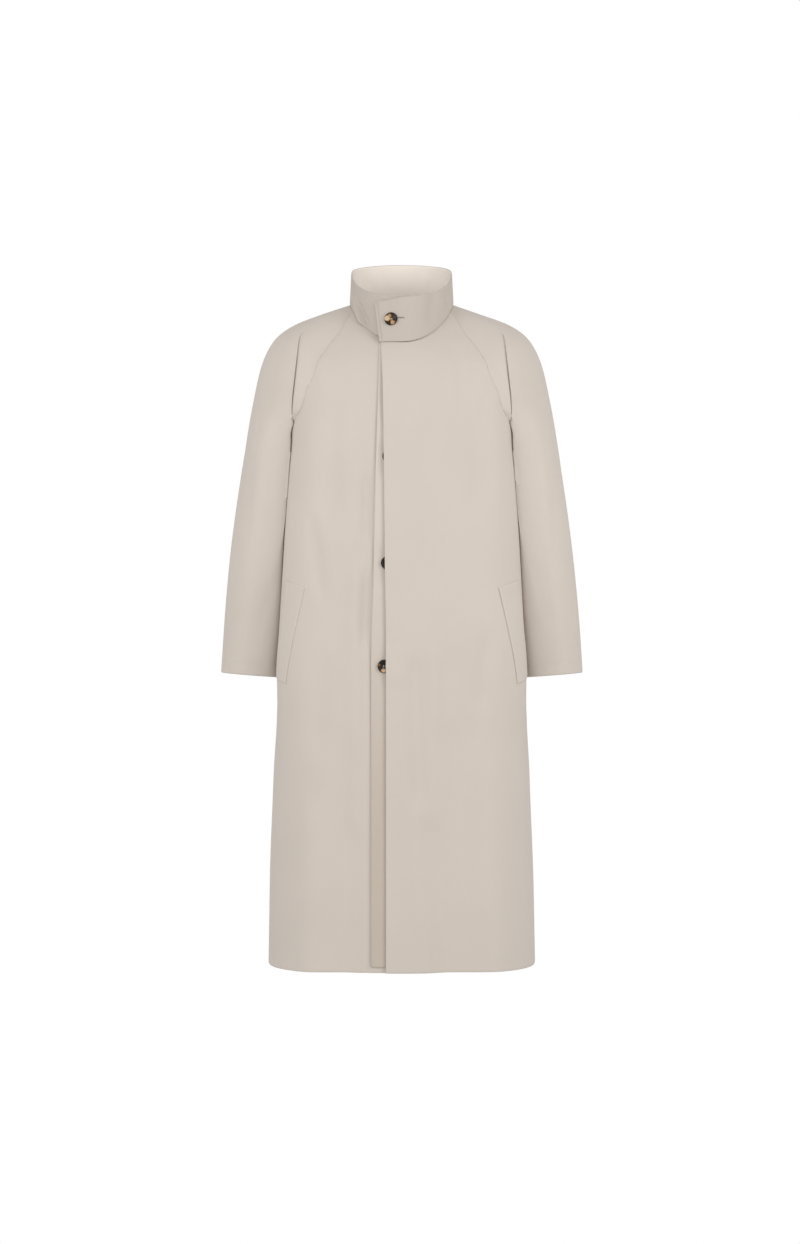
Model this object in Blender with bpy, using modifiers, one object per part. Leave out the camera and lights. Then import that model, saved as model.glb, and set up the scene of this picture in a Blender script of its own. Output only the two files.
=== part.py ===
"""Long raglan overcoat, filled out as if worn and empty inside. Metres, +Z up, front towards -Y,
the wearer's left towards +X, origin at the middle of the neck on the line of the shoulders."""

import math
from collections import namedtuple

import bmesh
import bpy
import numpy as np
from mathutils import Matrix, Vector

for thing in list(bpy.data.objects):
    bpy.data.objects.remove(thing, do_unlink=True)

# Cloth and seams
CLOTH = 0.0015
COLLAR_PLY = 0.0012
STRIP_PLY = 0.0012
WELT_PLY = 0.0014
SEAM_GAP = 0.0003
SEAM_DRAW = 0.00018

# Whole garment
HEM = -1.109
UNDERARM = -0.285
LEVEL = -0.345
LEVEL_AT = 4 / 18
CUFF_TILT = math.radians(4.5)
LOBE_POWER = 2.2

# Neckline and collar
NECK_HALF = 0.0870
NECK_FRONT = 0.098
NECK_BACK = 0.066
NECK_DROP = -0.076
NECK_RISE = 0.008
NECK_CURVE = 1.4
NECK_TAB_ROUND = 0.2
RIM_HALF = 0.0844
RIM_FRONT = 0.090
RIM_BACK = 0.074
RIM_SIDE = 0.0544
RIM_DROP = -0.0534
RIM_RISE = 0.0249
RIM_CURVE_FRONT = 0.9
RIM_CURVE_BACK = 0.85
COLLAR_GAP = 0.0008
INNER_GAP = 0.0016
COLLAR_OUT = 0.0012
COLLAR_LIFT = 0.0062
COLLAR_LIFT_FROM = 55.0
COLLAR_LIFT_SPAN = 50.0
TAB_BASE = -23.2
TAB_RIM = -30.2
TAB_STEP = 0.085
TAB_STEP_FROM = 10.0
TAB_STEP_SPAN = 30.0
UNDER_END = 378.0

# Front lap
LAP_FLAT = -0.010
LAP_END = 0.090
LAP_LIFT = 0.0076
LAP_LIFT_NECK = 0.0060
LAP_NECK_FOOT = -0.080
LAP_NECK_FADE = 0.080
LAY_GAP = 0.0005
UNDER_LAP = 0.035
STRIP_REACH = 0.018
STRIP_TOP_SHARE = 0.4
STRIP_FOOT = -1.100
STRIP_STEEP_FOOT = -0.170
STRIP_STEEP_FADE = 0.080
STRIP_STEEP_MORE = 0.4
WELT_GAP = 0.0007
WELT_TURN = 0.03
BUTTON_GAP = 0.0012

# Where the arm hangs against the body
ARM_DEPTH = 0.008
ARM_GAP = 0.0014
ARM_ROUND = 0.002
ARM_TURN = 0.012
DENT_SPREAD = 0.078
CREASE_WIDTH = 0.009
CREASE_CLEAR = 0.004
CREASE_LIMIT = 0.9
TINY = 0.000001
CREASE_SHARES = (0.0, 0.3, 0.5, 1.0)
NECK_SEAM_FRONT = math.radians(70.0)
NECK_SEAM_BACK = math.radians(135.0)
NECK_FADE = 2.5
SPLIT = 3 / 7

# Buttons, their profile in shares of the radius and thickness from the middle of the face round to the back
BUTTON_RADIUS = 0.0110
BUTTON_THICK = 0.0030
HOLE_RADIUS = 0.0010
HOLE_OFFSET = 0.0021
MERGE = 0.00001
Turn = namedtuple("Turn", "radius height")
BUTTON_PROFILE = [
    Turn(0.00, 0.56),
    Turn(0.58, 0.62),
    Turn(0.74, 0.93),
    Turn(0.93, 1.00),
    Turn(1.00, 0.45),
    Turn(0.86, 0.00),
    Turn(0.00, 0.00),
]

# Body form from hem to neck. Above the underarm it is as wide as the shoulders, and only its chest is used.
Body = namedtuple("Body", "height half_width front back squareness dent")
BODY = [
    Body(-1.109, 0.2245, 0.172, 0.160, 3.5, 0.0000),
    Body(-0.960, 0.2217, 0.169, 0.156, 3.5, 0.0000),
    Body(-0.800, 0.2157, 0.164, 0.150, 3.5, 0.0000),
    Body(-0.700, 0.2130, 0.160, 0.145, 3.6, 0.0040),
    Body(-0.628, 0.2155, 0.157, 0.141, 3.8, 0.0180),
    Body(-0.540, 0.2108, 0.154, 0.137, 4.0, 0.0205),
    Body(-0.450, 0.2060, 0.152, 0.134, 4.0, 0.0215),
    Body(-0.360, 0.2015, 0.150, 0.132, 4.0, 0.0225),
    Body(-0.285, 0.1965, 0.147, 0.130, 4.0, 0.0185),
    Body(-0.235, 0.1930, 0.144, 0.128, 4.0, 0.0125),
    Body(-0.190, 0.1935, 0.139, 0.125, 3.8, 0.0030),
    Body(-0.150, 0.2180, 0.132, 0.120, 3.0, 0.0000),
    Body(-0.110, 0.2400, 0.119, 0.112, 2.5, 0.0000),
    Body(-0.076, 0.2270, 0.098, 0.101, 2.1, 0.0000),
    Body(-0.048, 0.2050, 0.071, 0.090, 2.0, 0.0000),
    Body(-0.020, 0.1530, 0.039, 0.077, 2.0, 0.0000),
    Body(0.006, 0.0900, 0.010, 0.067, 2.0, 0.0000),
]

# Raglan part from the neckline down to the underarm: the front and back seams, the ridge between them, the
# fold where the chest stands in front of the sleeve, and the sleeve's own half depth beyond that fold.
Yoke = namedtuple(
    "Yoke",
    "front_height front_angle ridge_height ridge_across ridge_depth"
    " crease lobe_front lobe_back back_height back_angle",
)
YOKE = [
    Yoke(-0.0199, 33.0, 0.0000, 0.0870, 0.000, 0.160, 0.0335, 0.047, 0.0053, 136.0),
    Yoke(-0.0500, 29.1, -0.0198, 0.1420, 0.002, 0.163, 0.0640, 0.069, -0.0300, 151.0),
    Yoke(-0.0810, 31.4, -0.0363, 0.1840, 0.004, 0.167, 0.0910, 0.083, -0.0650, 152.0),
    Yoke(-0.1210, 34.0, -0.0608, 0.2170, 0.006, 0.171, 0.1120, 0.094, -0.1050, 149.0),
    Yoke(-0.1600, 41.4, -0.1020, 0.2380, 0.008, 0.1765, 0.1180, 0.100, -0.1550, 144.0),
    Yoke(-0.1950, 48.9, -0.1550, 0.2500, 0.009, 0.1815, 0.1145, 0.094, -0.1950, 132.0),
    Yoke(-0.2350, 65.0, -0.2080, 0.2600, 0.010, 0.1850, 0.1125, 0.093, -0.2400, 117.0),
    Yoke(-0.2850, 94.4, -0.2770, 0.2700, 0.010, 0.1870, 0.1080, 0.092, -0.2850, 94.4),
]

# Sleeve below the underarm, squarer on its inner side where it lies against the body
Sleeve = namedtuple("Sleeve", "height centre half_width depth front back inner_square")
SLEEVE = [
    Sleeve(-0.2810, 0.2240, 0.0460, 0.010, 0.108, 0.092, 7.0),
    Sleeve(-0.3600, 0.2330, 0.0480, -0.004, 0.093, 0.090, 7.0),
    Sleeve(-0.4500, 0.2418, 0.0498, -0.011, 0.080, 0.082, 6.0),
    Sleeve(-0.5400, 0.2488, 0.0510, -0.012, 0.069, 0.072, 5.0),
    Sleeve(-0.6280, 0.2555, 0.0505, -0.010, 0.060, 0.062, 3.4),
]

# Front edges across the middle
Edge = namedtuple("Edge", "height left strip")
EDGE = [
    Edge(-1.109, -0.0258, -0.0501),
    Edge(-0.570, -0.0260, -0.0500),
    Edge(-0.470, -0.0274, -0.0468),
    Edge(-0.315, -0.0290, -0.0436),
    Edge(-0.160, -0.0312, -0.0388),
    Edge(-0.070, -0.0352, -0.0374),
]

# Largest soft folds, each from its top to its foot: a trough where depth is above zero, a ridge below zero
FOLD_FADE = 0.08
Fold = namedtuple("Fold", "side top_across foot_across top foot width depth")
FOLDS = [
    Fold("front", -0.112, -0.118, -0.150, -0.420, 0.020, 0.0051),
    Fold("front", -0.126, -0.142, -0.560, -0.780, 0.022, 0.0048),
    Fold("front", -0.082, -0.096, -0.700, -1.190, 0.030, 0.0054),
    Fold("front", -0.150, -0.162, -0.800, -1.190, 0.024, -0.0042),
    Fold("front", 0.122, 0.130, -0.100, -0.390, 0.022, 0.0054),
    Fold("front", 0.060, 0.070, -0.140, -0.640, 0.028, -0.0038),
    Fold("front", 0.088, 0.104, -0.660, -1.190, 0.030, 0.0048),
    Fold("front", 0.140, 0.166, -0.720, -1.190, 0.026, -0.0038),
    Fold("back", -0.108, -0.126, -0.170, -0.620, 0.024, 0.0058),
    Fold("back", 0.104, 0.120, -0.190, -0.660, 0.026, 0.0054),
    Fold("back", -0.052, -0.066, -0.520, -1.190, 0.034, 0.0061),
    Fold("back", 0.040, 0.058, -0.600, -1.190, 0.030, -0.0048),
    Fold("back", 0.120, 0.150, -0.660, -1.190, 0.030, 0.0054),
]

# Pocket welt corners on the front: height, and degrees round the body from centre front
Corner = namedtuple("Corner", "height angle")
WELT_TOP = (Corner(-0.482, 40.2), Corner(-0.469, 52.3))
WELT_FOOT = (Corner(-0.641, 48.8), Corner(-0.632, 60.5))

# Buttons on the front: place across and height
Button = namedtuple("Button", "name across height")
FRONT_BUTTONS = [
    Button("front_button_1", -0.0208, -0.2682),
    Button("front_button_2", -0.0232, -0.4427),
    Button("front_button_3", -0.0284, -0.6113),
]
COLLAR_BUTTON = Button("collar_button", -0.0161, -0.0375)

# Grid counts
CHEST_ROWS = 5
SIDE_ROWS = 11
YOKE_ROWS = CHEST_ROWS + SIDE_ROWS
SKIRT_ROWS = 18
FRONT_COLUMNS = 10
BACK_COLUMNS = 6
SLEEVE_ROWS = 9
COLLAR_ROWS = 3
COLLAR_COLUMNS = 60
BUTTON_SIDES = 20
STRIP_COLUMNS = 5
WELT_ROWS = 9
WELT_COLUMNS = 9
HOLE_SIDES = 8
SLEEVE_SHARES = np.array([0.0, 0.07, 0.14, 0.22, 0.3, 0.4, 0.5, 0.58, 0.66, 0.74, 0.82, 0.91, 1.0])


def smooth(table, by, name, at):
    """Value of one named column at the places given, by a cubic that does not overshoot its rows."""
    rows = sorted(table, key=lambda row: getattr(row, by))
    knots = np.array([getattr(row, by) for row in rows])
    values = np.array([getattr(row, name) for row in rows])
    step = np.diff(knots)
    rise = np.diff(values) / step
    slope = np.zeros_like(values)
    same_way = rise[1:] * rise[:-1] > 0
    total = np.where(same_way, rise[1:] + rise[:-1], 1.0)
    slope[1:-1] = np.where(same_way, 2 * rise[1:] * rise[:-1] / total, 0.0)
    slope[0] = rise[0]
    slope[-1] = rise[-1]
    at = np.clip(np.asarray(at, dtype=float), knots[0], knots[-1])
    cell = np.clip(np.searchsorted(knots, at) - 1, 0, len(step) - 1)
    u = (at - knots[cell]) / step[cell]
    near = (1 + 2 * u) * (1 - u) ** 2 * values[cell] + u * (1 - u) ** 2 * step[cell] * slope[cell]
    far = u * u * (3 - 2 * u) * values[cell + 1] + u * u * (u - 1) * step[cell] * slope[cell + 1]
    return near + far


def along(table, name, share):
    """Value of one named column at a share of the way down the table."""
    Numbered = namedtuple("Numbered", "place value")
    last = len(table) - 1
    numbered = [Numbered(i / last, getattr(row, name)) for i, row in enumerate(table)]
    return smooth(numbered, "place", "value", share)


def ease(u):
    u = np.clip(u, 0.0, 1.0)
    return u * u * (3 - 2 * u)


def power(value, exponent):
    return np.sign(value) * np.abs(value) ** exponent


def dent_at(height, depth):
    """How far the arm presses the side of the body form in."""
    return smooth(BODY, "height", "dent", height) * np.exp(-(((depth - ARM_DEPTH) / DENT_SPREAD) ** 4))


def body_point(height, angle):
    """Point of the body form, the angle going from centre front to the wearer's left, the back and round."""
    height, angle = np.broadcast_arrays(np.asarray(height, float), np.asarray(angle, float))
    square = smooth(BODY, "height", "squareness", height)
    sine = np.sin(angle)
    cosine = np.cos(angle)
    reach = (np.abs(sine) ** square + np.abs(cosine) ** square) ** (-1 / square)
    front = smooth(BODY, "height", "front", height)
    back = smooth(BODY, "height", "back", height)
    x = smooth(BODY, "height", "half_width", height) * reach * sine
    y = -np.where(cosine > 0, front, back) * reach * cosine
    return np.stack([x - np.sign(x) * dent_at(height, y), y, height], -1)


def clear_of_body(x, depth, height):
    """Places across moved out, with a soft turn, to where the arm lies clear of the side of the body form."""
    square = smooth(BODY, "height", "squareness", height)
    front = smooth(BODY, "height", "front", height)
    back = smooth(BODY, "height", "back", height)
    share = np.clip(np.abs(depth) / np.where(depth < 0, front, back), 0.0, 1.0)
    side = smooth(BODY, "height", "half_width", height) * (1 - share**square) ** (1 / square)
    side = side - dent_at(height, depth) + ARM_GAP
    return (x + side + np.hypot(x - side, ARM_ROUND)) / 2


def angle_at(height, across):
    """Angle of the body form's front at a distance across from the middle."""
    square = smooth(BODY, "height", "squareness", height)
    x = across / smooth(BODY, "height", "half_width", height)
    return np.arctan2(x, (1 - np.abs(x) ** square) ** (1 / square))


def neck_point(angle):
    """Point of the neckline, the angle as for the body; it runs level past the middle, where fronts lap."""
    cosine = np.cos(angle)
    level = np.cos(np.clip(angle, 0.0, 2 * math.pi))
    deep = np.where(cosine > 0, NECK_FRONT, NECK_BACK)
    rise = np.where(level > 0, NECK_DROP, NECK_RISE) * np.abs(level) ** NECK_CURVE
    flat = np.where(angle < 0, 1 + NECK_TAB_ROUND * (cosine - 1), cosine)
    return np.stack([NECK_HALF * np.sin(angle), -deep * flat, rise], -1)


def rim_point(angle):
    """Point of the collar's upper rim."""
    cosine = np.cos(angle)
    level = np.cos(np.clip(angle, 0.0, 2 * math.pi))
    deep = np.where(cosine > 0, RIM_FRONT, RIM_BACK)
    steep = np.abs(level)
    rise = np.where(level > 0, RIM_DROP * steep**RIM_CURVE_FRONT, RIM_RISE * steep**RIM_CURVE_BACK)
    return np.stack([RIM_HALF * np.sin(angle), -deep * cosine, RIM_SIDE + rise], -1)


def neck_weight(share):
    """How much of the fit to the neckline is left at a share of the way down to the underarm."""
    return np.clip(1 - share / SPLIT, 0.0, 1.0) ** NECK_FADE


def seam_point(share, side):
    """Point of the front or back raglan seam at a share of the way from the neckline to the underarm."""
    start = NECK_SEAM_FRONT if side == "front" else NECK_SEAM_BACK
    angles = np.radians(along(YOKE, side + "_angle", np.array([share, 0.0])))
    heights = along(YOKE, side + "_height", np.array([share, 0.0]))
    form = body_point(heights, angles)
    return form[0] + (neck_point(start) - form[1]) * neck_weight(share)


def with_folds(grid, side):
    """A grid of points with the soft folds of one side of the body pressed into it."""
    made = grid.copy()
    for fold in FOLDS:
        if fold.side == side:
            drop = (fold.top - made[..., 2]) / (fold.top - fold.foot)
            middle = fold.top_across + (fold.foot_across - fold.top_across) * drop
            fade_in = ease((fold.top - made[..., 2]) / FOLD_FADE)
            fade_out = ease((made[..., 2] - fold.foot) / FOLD_FADE)
            press = fold.depth * fade_in * fade_out * np.exp(-(((made[..., 0] - middle) / fold.width) ** 2))
            made[..., 1] += press if side == "front" else -press
    return made


def front_lift(x, height):
    """How far the left front stands out over what lies under its edge."""
    lift = LAP_LIFT_NECK + (LAP_LIFT - LAP_LIFT_NECK) * ease((LAP_NECK_FOOT - height) / LAP_NECK_FADE)
    return lift * ease((LAP_END - x) / (LAP_END - LAP_FLAT))


def half_panel(side, middle_top, start_angle, neck_start, shares, downs, columns):
    """Half of a front or back. Its first columns run from the middle to the raglan seam and on down at a
    fixed angle; each later column starts on the lower part of that seam. Rows that a column lacks are left
    empty."""
    split = int(np.argmin(np.abs(shares - SPLIT)))
    angles = np.radians(along(YOKE, side + "_angle", shares))
    heights = along(YOKE, side + "_height", shares)
    neck_end = NECK_SEAM_FRONT if side == "front" else NECK_SEAM_BACK
    across = np.linspace(0.0, 1.0, columns + 1)
    wide = columns + len(shares) - split
    grid = np.full((split + len(downs), wide, 3), np.nan)
    neck = neck_point(neck_start + (neck_end - neck_start) * across)
    turn = angle_at(neck[:, 2], neck[:, 0])
    turn = turn if side == "front" else math.pi - turn
    climb = (neck[:, 2] - neck[0, 2]) / (neck[-1, 2] - neck[0, 2])
    spread = (turn - turn[0]) / (turn[-1] - turn[0])
    for i in range(split + 1):
        middle = middle_top + (UNDERARM - middle_top) * shares[i]
        start = start_angle(middle)
        row = body_point(middle + (heights[i] - middle) * climb, start + (angles[i] - start) * spread)
        if i == 0:
            shift = neck - row
        grid[i, : columns + 1] = row + shift * neck_weight(shares[i])
    tops = np.concatenate([grid[split, :columns, 2], heights[split:]])
    for k, down in enumerate(downs[1:], 1):
        level = LEVEL + (HEM - LEVEL) * max(down - LEVEL_AT, 0.0) / (1 - LEVEL_AT)
        height = level + (tops - level) * max(1 - down / LEVEL_AT, 0.0)
        start = start_angle(float(height[0]))
        near = start + (angles[split] - start) * spread[:-1]
        grid[split + k] = body_point(height, np.concatenate([near, angles[split:]]))
    for j in range(columns + 1, wide):
        grid[split, j] = seam_point(shares[split + j - columns], side)
    return grid


def front_grid(edge, shares, downs, columns):
    """A wearer's-left front from its middle edge, placed by the edge function, to raglan and side seams."""

    def start_angle(height):
        return float(angle_at(height, edge(height)))

    neck_start = math.asin(float(edge(NECK_DROP)) / NECK_HALF)
    return half_panel("front", NECK_DROP, start_angle, neck_start, shares, downs, columns)


def back_grid(shares, downs, columns):
    """The back from the wearer's left seams to the right ones."""
    half = half_panel("back", NECK_RISE, lambda height: math.pi, math.pi, shares, downs, columns)
    return np.concatenate([half[:, ::-1], half[:, 1:] * np.array([-1.0, 1.0, 1.0])], axis=1)


def lobe_half(seam, ridge, lobe, crease, centre, towards, share):
    """Half of a sleeve row from a raglan seam point to the ridge; towards is -1 in front, 1 behind."""
    depth = max(towards * (seam[1] - ridge[1]), 0.0)
    square = LOBE_POWER + (SLEEVE[0].inner_square - LOBE_POWER) * ease(1 - depth / lobe)
    start = 0.0
    middle = seam[0]
    inner = 0.0
    if depth < lobe:
        start = math.acos((depth / lobe) ** (square / 2))
        middle = seam[0] + (centre - seam[0]) * (1 - math.cos(start))
        inner = (middle - seam[0]) / max(math.sin(start) ** (2 / square), TINY)
    step = max(depth - lobe, 0.0)
    crease = max(crease, seam[0] + CREASE_CLEAR)
    knots = [-start]
    for place in (crease, crease + CREASE_WIDTH):
        wide = ridge[0] - middle if place > middle else max(inner, TINY)
        ratio = min(max((place - middle) / wide, -1.0), CREASE_LIMIT)
        knots.append(math.asin(float(power(ratio, (LOBE_POWER if ratio > 0 else square) / 2))))
    knots.append(math.pi / 2)
    even = -start + share * (math.pi / 2 + start)
    held = np.interp(share, CREASE_SHARES, knots)
    q = even + (held - even) * ease((ridge[0] - crease - CREASE_WIDTH * 2) / CREASE_WIDTH / 3)
    bend = 2 / np.where(q < 0, square, LOBE_POWER)
    x = middle + np.where(q < 0, inner, ridge[0] - middle) * power(np.sin(q), bend)
    reach = max(depth, lobe) - step * ease((x - crease) / CREASE_WIDTH)
    y = ridge[1] + towards * reach * power(np.cos(q), bend)
    climb = np.sin((q + start) / (math.pi / 2 + start) * math.pi / 2)
    z = seam[2] + (ridge[2] - seam[2]) * climb
    hold = ease(towards * (y - seam[1]) / ARM_TURN)
    return np.stack([x + (clear_of_body(x, y, z) - x) * hold, y, z], -1)


def sleeve_row(share, places):
    """One row of the raglan part, from the front seam over the ridge to the back seam."""
    row = {name: float(along(YOKE, name, share)) for name in Yoke._fields}
    ridge = np.array([row["ridge_across"], row["ridge_depth"], row["ridge_height"]])
    centre = SLEEVE[0].centre
    halves = []
    for side, towards in (("front", -1), ("back", 1)):
        seam = seam_point(share, side)
        half = lobe_half(seam, ridge, row["lobe_" + side], row["crease"], centre, towards, places)
        halves.append(half)
    return np.concatenate([halves[0][:-1], halves[1][::-1]])


def sleeve_grid(shares, heights, places):
    """Rows of a wearer's-left sleeve: open arcs down to the underarm, rings from there to the cuff."""
    rows = [sleeve_row(share, places) for share in shares]
    angles = np.concatenate(
        [
            NECK_SEAM_FRONT + (math.pi / 2 - NECK_SEAM_FRONT) * places[:-1],
            (NECK_SEAM_BACK + (math.pi / 2 - NECK_SEAM_BACK) * places)[::-1],
        ]
    )
    shift = neck_point(angles) - rows[0]
    rows = [row + shift * neck_weight(share) for row, share in zip(rows, shares)]
    last = rows[-1]
    first = SLEEVE[0]
    turn_x = (last[:, 0] - first.centre) / first.half_width
    turn_y = (last[:, 1] - first.depth) / np.where(last[:, 1] < first.depth, first.front, first.back)
    out = np.where(turn_x < 0, first.inner_square, LOBE_POWER) / 2
    angle = np.arctan2(power(turn_x, out), -power(turn_y, out))
    for height in heights:
        part = {name: float(smooth(SLEEVE, "height", name, height)) for name in Sleeve._fields}
        bend = 2 / np.where(angle < 0, part["inner_square"], LOBE_POWER)
        x = part["half_width"] * power(np.sin(angle), bend)
        deep = np.where(np.cos(angle) > 0, part["front"], part["back"])
        y = part["depth"] - deep * power(np.cos(angle), bend)
        clear = clear_of_body(part["centre"] + x, y, height)
        rows.append(np.stack([clear, y, height + x * math.tan(CUFF_TILT)], -1))
    return np.array(rows)


def collar_grid(rows, columns, inset, gap):
    """Rows of the collar from rim to neckline, from the end of the tab round the neck to the under end."""
    place = np.linspace(0.0, 1.0, columns)
    grid = []
    for i in range(rows + 1):
        up = 1 - i / rows
        start = TAB_BASE + (TAB_RIM - TAB_BASE) * up
        degrees = start + (UNDER_END - start) * place
        angle = np.radians(degrees)
        lap = ease((COLLAR_LIFT_FROM - degrees) / COLLAR_LIFT_SPAN)
        tab = ease((TAB_STEP_FROM - degrees) / TAB_STEP_SPAN)
        high = up * (1 - TAB_STEP * tab)
        low = neck_point(angle)
        low[:, 2] += gap
        point = low + (rim_point(angle) - low) * high[:, None]
        outward = np.stack([np.sin(angle), -np.cos(angle), np.zeros(columns)], -1)
        grid.append(point + outward * (COLLAR_LIFT * lap - inset + COLLAR_OUT)[:, None])
    return np.array(grid)


def drawn(place, towards):
    """A place moved back from a seam towards the next place."""
    step = towards - place
    return place + step / np.linalg.norm(step) * SEAM_DRAW


def pull_in(grid, first, last):
    """Draw the first or last place of each row of a grid back along the row, and the places on the stepped
    top of a panel down their columns, to leave the gap at a seam."""
    made = grid.copy()
    there = ~np.isnan(grid[..., 0])
    for i in range(len(grid)):
        held = np.flatnonzero(there[i])
        if first:
            made[i, held[0]] = drawn(grid[i, held[0]], grid[i, held[1]])
        if last:
            made[i, held[-1]] = drawn(grid[i, held[-1]], grid[i, held[-2]])
    for j in range(grid.shape[1]):
        top = int(np.flatnonzero(there[:, j])[0])
        if top:
            made[top, j] = drawn(made[top, j], grid[top + 1, j])
    return made


def mirrored(grid):
    """The same piece on the wearer's right, its columns turned round so that it still faces out."""
    return grid[:, ::-1] * np.array([-1.0, 1.0, 1.0])


def material(name, colour, roughness):
    made = bpy.data.materials.new(name)
    made.use_nodes = True
    shader = made.node_tree.nodes["Principled BSDF"]
    shader.inputs["Base Color"].default_value = (*colour, 1.0)
    shader.inputs["Roughness"].default_value = roughness
    return made


coat = bpy.data.collections.new("coat")
bpy.context.scene.collection.children.link(coat)
GABARDINE = material("gabardine", (0.64, 0.57, 0.50), 0.85)
COLLAR_CLOTH = material("collar cloth", (0.62, 0.55, 0.48), 0.85)
STRIP_CLOTH = material("fly strip cloth", (0.56, 0.49, 0.42), 0.85)
WELT_CLOTH = material("welt cloth", (0.62, 0.55, 0.48), 0.85)
BUTTON_RESIN = material("tortoiseshell resin", (0.05, 0.025, 0.012), 0.25)


def add_object(name, mesh, paint):
    made = bpy.data.objects.new(name, mesh)
    made.data.materials.append(paint)
    coat.objects.link(made)
    return made


def add_cloth(name, grid, thickness, paint, ring_from=None):
    """Cloth on a grid of points, rows downwards, thickened inwards. Rows from ring_from close."""
    shell = bmesh.new()
    rows, columns = grid.shape[:2]
    corners = {}
    for i in range(rows):
        for j in range(columns):
            if ring_from is not None and i >= ring_from and j == columns - 1:
                corners[i, j] = corners[i, 0]
            elif not np.isnan(grid[i, j, 0]):
                corners[i, j] = shell.verts.new(grid[i, j])
    for i in range(rows - 1):
        for j in range(columns - 1):
            around = [(i, j), (i + 1, j), (i + 1, j + 1), (i, j + 1)]
            if all(place in corners for place in around):
                shell.faces.new([corners[place] for place in around])
    mesh = bpy.data.meshes.new(name)
    shell.to_mesh(mesh)
    shell.free()
    made = add_object(name, mesh, paint)
    wall = made.modifiers.new("wall", "SOLIDIFY")
    wall.thickness = thickness
    wall.offset = -1.0
    return made


def button_mesh():
    """A four-hole button turned from its profile, its back on the ground and its face up."""
    points = [(turn.radius * BUTTON_RADIUS, 0.0, turn.height * BUTTON_THICK) for turn in BUTTON_PROFILE]
    profile = bpy.data.meshes.new("button profile")
    profile.from_pydata(points, [(k, k + 1) for k in range(len(points) - 1)], [])
    blank = add_object("button blank", profile, BUTTON_RESIN)
    turned = blank.modifiers.new("turned", "SCREW")
    turned.steps = BUTTON_SIDES
    turned.render_steps = BUTTON_SIDES
    turned.use_merge_vertices = True
    turned.merge_threshold = MERGE
    drills = bmesh.new()
    for k in range(4):
        turn = math.pi / 4 + math.pi / 2 * k
        spot = Vector((HOLE_OFFSET * math.cos(turn), HOLE_OFFSET * math.sin(turn), BUTTON_THICK / 2))
        bmesh.ops.create_cone(
            drills,
            cap_ends=True,
            segments=HOLE_SIDES,
            radius1=HOLE_RADIUS,
            radius2=HOLE_RADIUS,
            depth=BUTTON_THICK * 3,
            matrix=Matrix.Translation(spot),
        )
    drill_mesh = bpy.data.meshes.new("button drill")
    drills.to_mesh(drill_mesh)
    drills.free()
    drill = add_object("button drill", drill_mesh, BUTTON_RESIN)
    holes = blank.modifiers.new("holes", "BOOLEAN")
    holes.operation = "DIFFERENCE"
    holes.solver = "EXACT"
    holes.object = drill
    bpy.context.view_layer.update()
    made = bpy.data.meshes.new_from_object(blank.evaluated_get(bpy.context.evaluated_depsgraph_get()))
    bpy.data.objects.remove(blank, do_unlink=True)
    bpy.data.objects.remove(drill, do_unlink=True)
    return made


def add_button(button, mesh, surface, gap):
    """A button a gap off a surface, a function of the button and of steps along and up from its place."""
    run = surface(button, BUTTON_RADIUS, 0.0) - surface(button, -BUTTON_RADIUS, 0.0)
    rise = surface(button, 0.0, BUTTON_RADIUS) - surface(button, 0.0, -BUTTON_RADIUS)
    facing = Vector(np.cross(run, rise)).normalized()
    made = bpy.data.objects.new(button.name, mesh)
    made.location = Vector(surface(button, 0.0, 0.0)) + facing * gap
    made.rotation_euler = facing.to_track_quat("Z", "Y").to_euler()
    coat.objects.link(made)


def left_edge(height):
    return smooth(EDGE, "height", "left", height)


def under_edge(height):
    return -UNDER_LAP


def strip_grid(under_front):
    """The fly strip, on the points of the wearer's-left twin of the under front, mirrored and moved out."""
    rows = []
    for row in mirrored(under_front[:, : FRONT_COLUMNS + 1]):
        x, y, z = row.T
        place = np.linspace(smooth(EDGE, "height", "strip", z[-1]), STRIP_REACH, STRIP_COLUMNS + 1)
        rows.append(np.stack([place, np.interp(place, x, y), np.interp(place, x, z)], -1))
    made = np.array(rows)
    made[0] = made[1] + (made[0] - made[1]) * STRIP_TOP_SHARE
    foot_share = (STRIP_FOOT - made[-2, 0, 2]) / (made[-1, 0, 2] - made[-2, 0, 2])
    made[-1] = made[-2] + (made[-1] - made[-2]) * foot_share
    steep = ease((made[..., 2] - STRIP_STEEP_FOOT) / STRIP_STEEP_FADE)
    made[..., 1] -= (LAY_GAP + STRIP_PLY) * (1 + STRIP_STEEP_MORE * steep)
    return made


def on_panel(front, shares, height, angle):
    """Place on the flat faces of a front below the raglan seam, at a height and angle."""
    split = int(np.argmin(np.abs(shares - SPLIT)))
    lower = front[split:, FRONT_COLUMNS:]
    angles = np.radians(along(YOKE, "front_angle", shares[split:]))
    columns = np.array(
        [[np.interp(-height, -lower[:, j, 2], lower[:, j, k]) for k in range(3)] for j in range(len(angles))]
    )
    return np.array([np.interp(angle, angles, columns[:, k]) for k in range(3)])


def between(corners, over):
    """Height and angle at a share of the way from one corner to the other."""
    return np.array(corners[0]) * (1 - over) + np.array(corners[1]) * over


def welt_grid(front, shares):
    """The wearer's-left welt, on the front's own faces moved out."""
    made = np.zeros((WELT_ROWS + 1, WELT_COLUMNS + 1, 3))
    for i, down in enumerate(np.linspace(0.0, 1.0, WELT_ROWS + 1)):
        for j, over in enumerate(np.linspace(0.0, 1.0, WELT_COLUMNS + 1)):
            height, degrees = between(WELT_TOP, over) * (1 - down) + between(WELT_FOOT, over) * down
            angle = math.radians(degrees)
            across = body_point(height, angle + WELT_TURN) - body_point(height, angle - WELT_TURN)
            outward = np.array([across[1], -across[0], 0.0]) / np.linalg.norm(across)
            made[i, j] = on_panel(front, shares, height, angle) + outward * (WELT_GAP + WELT_PLY)
    return made


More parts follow.
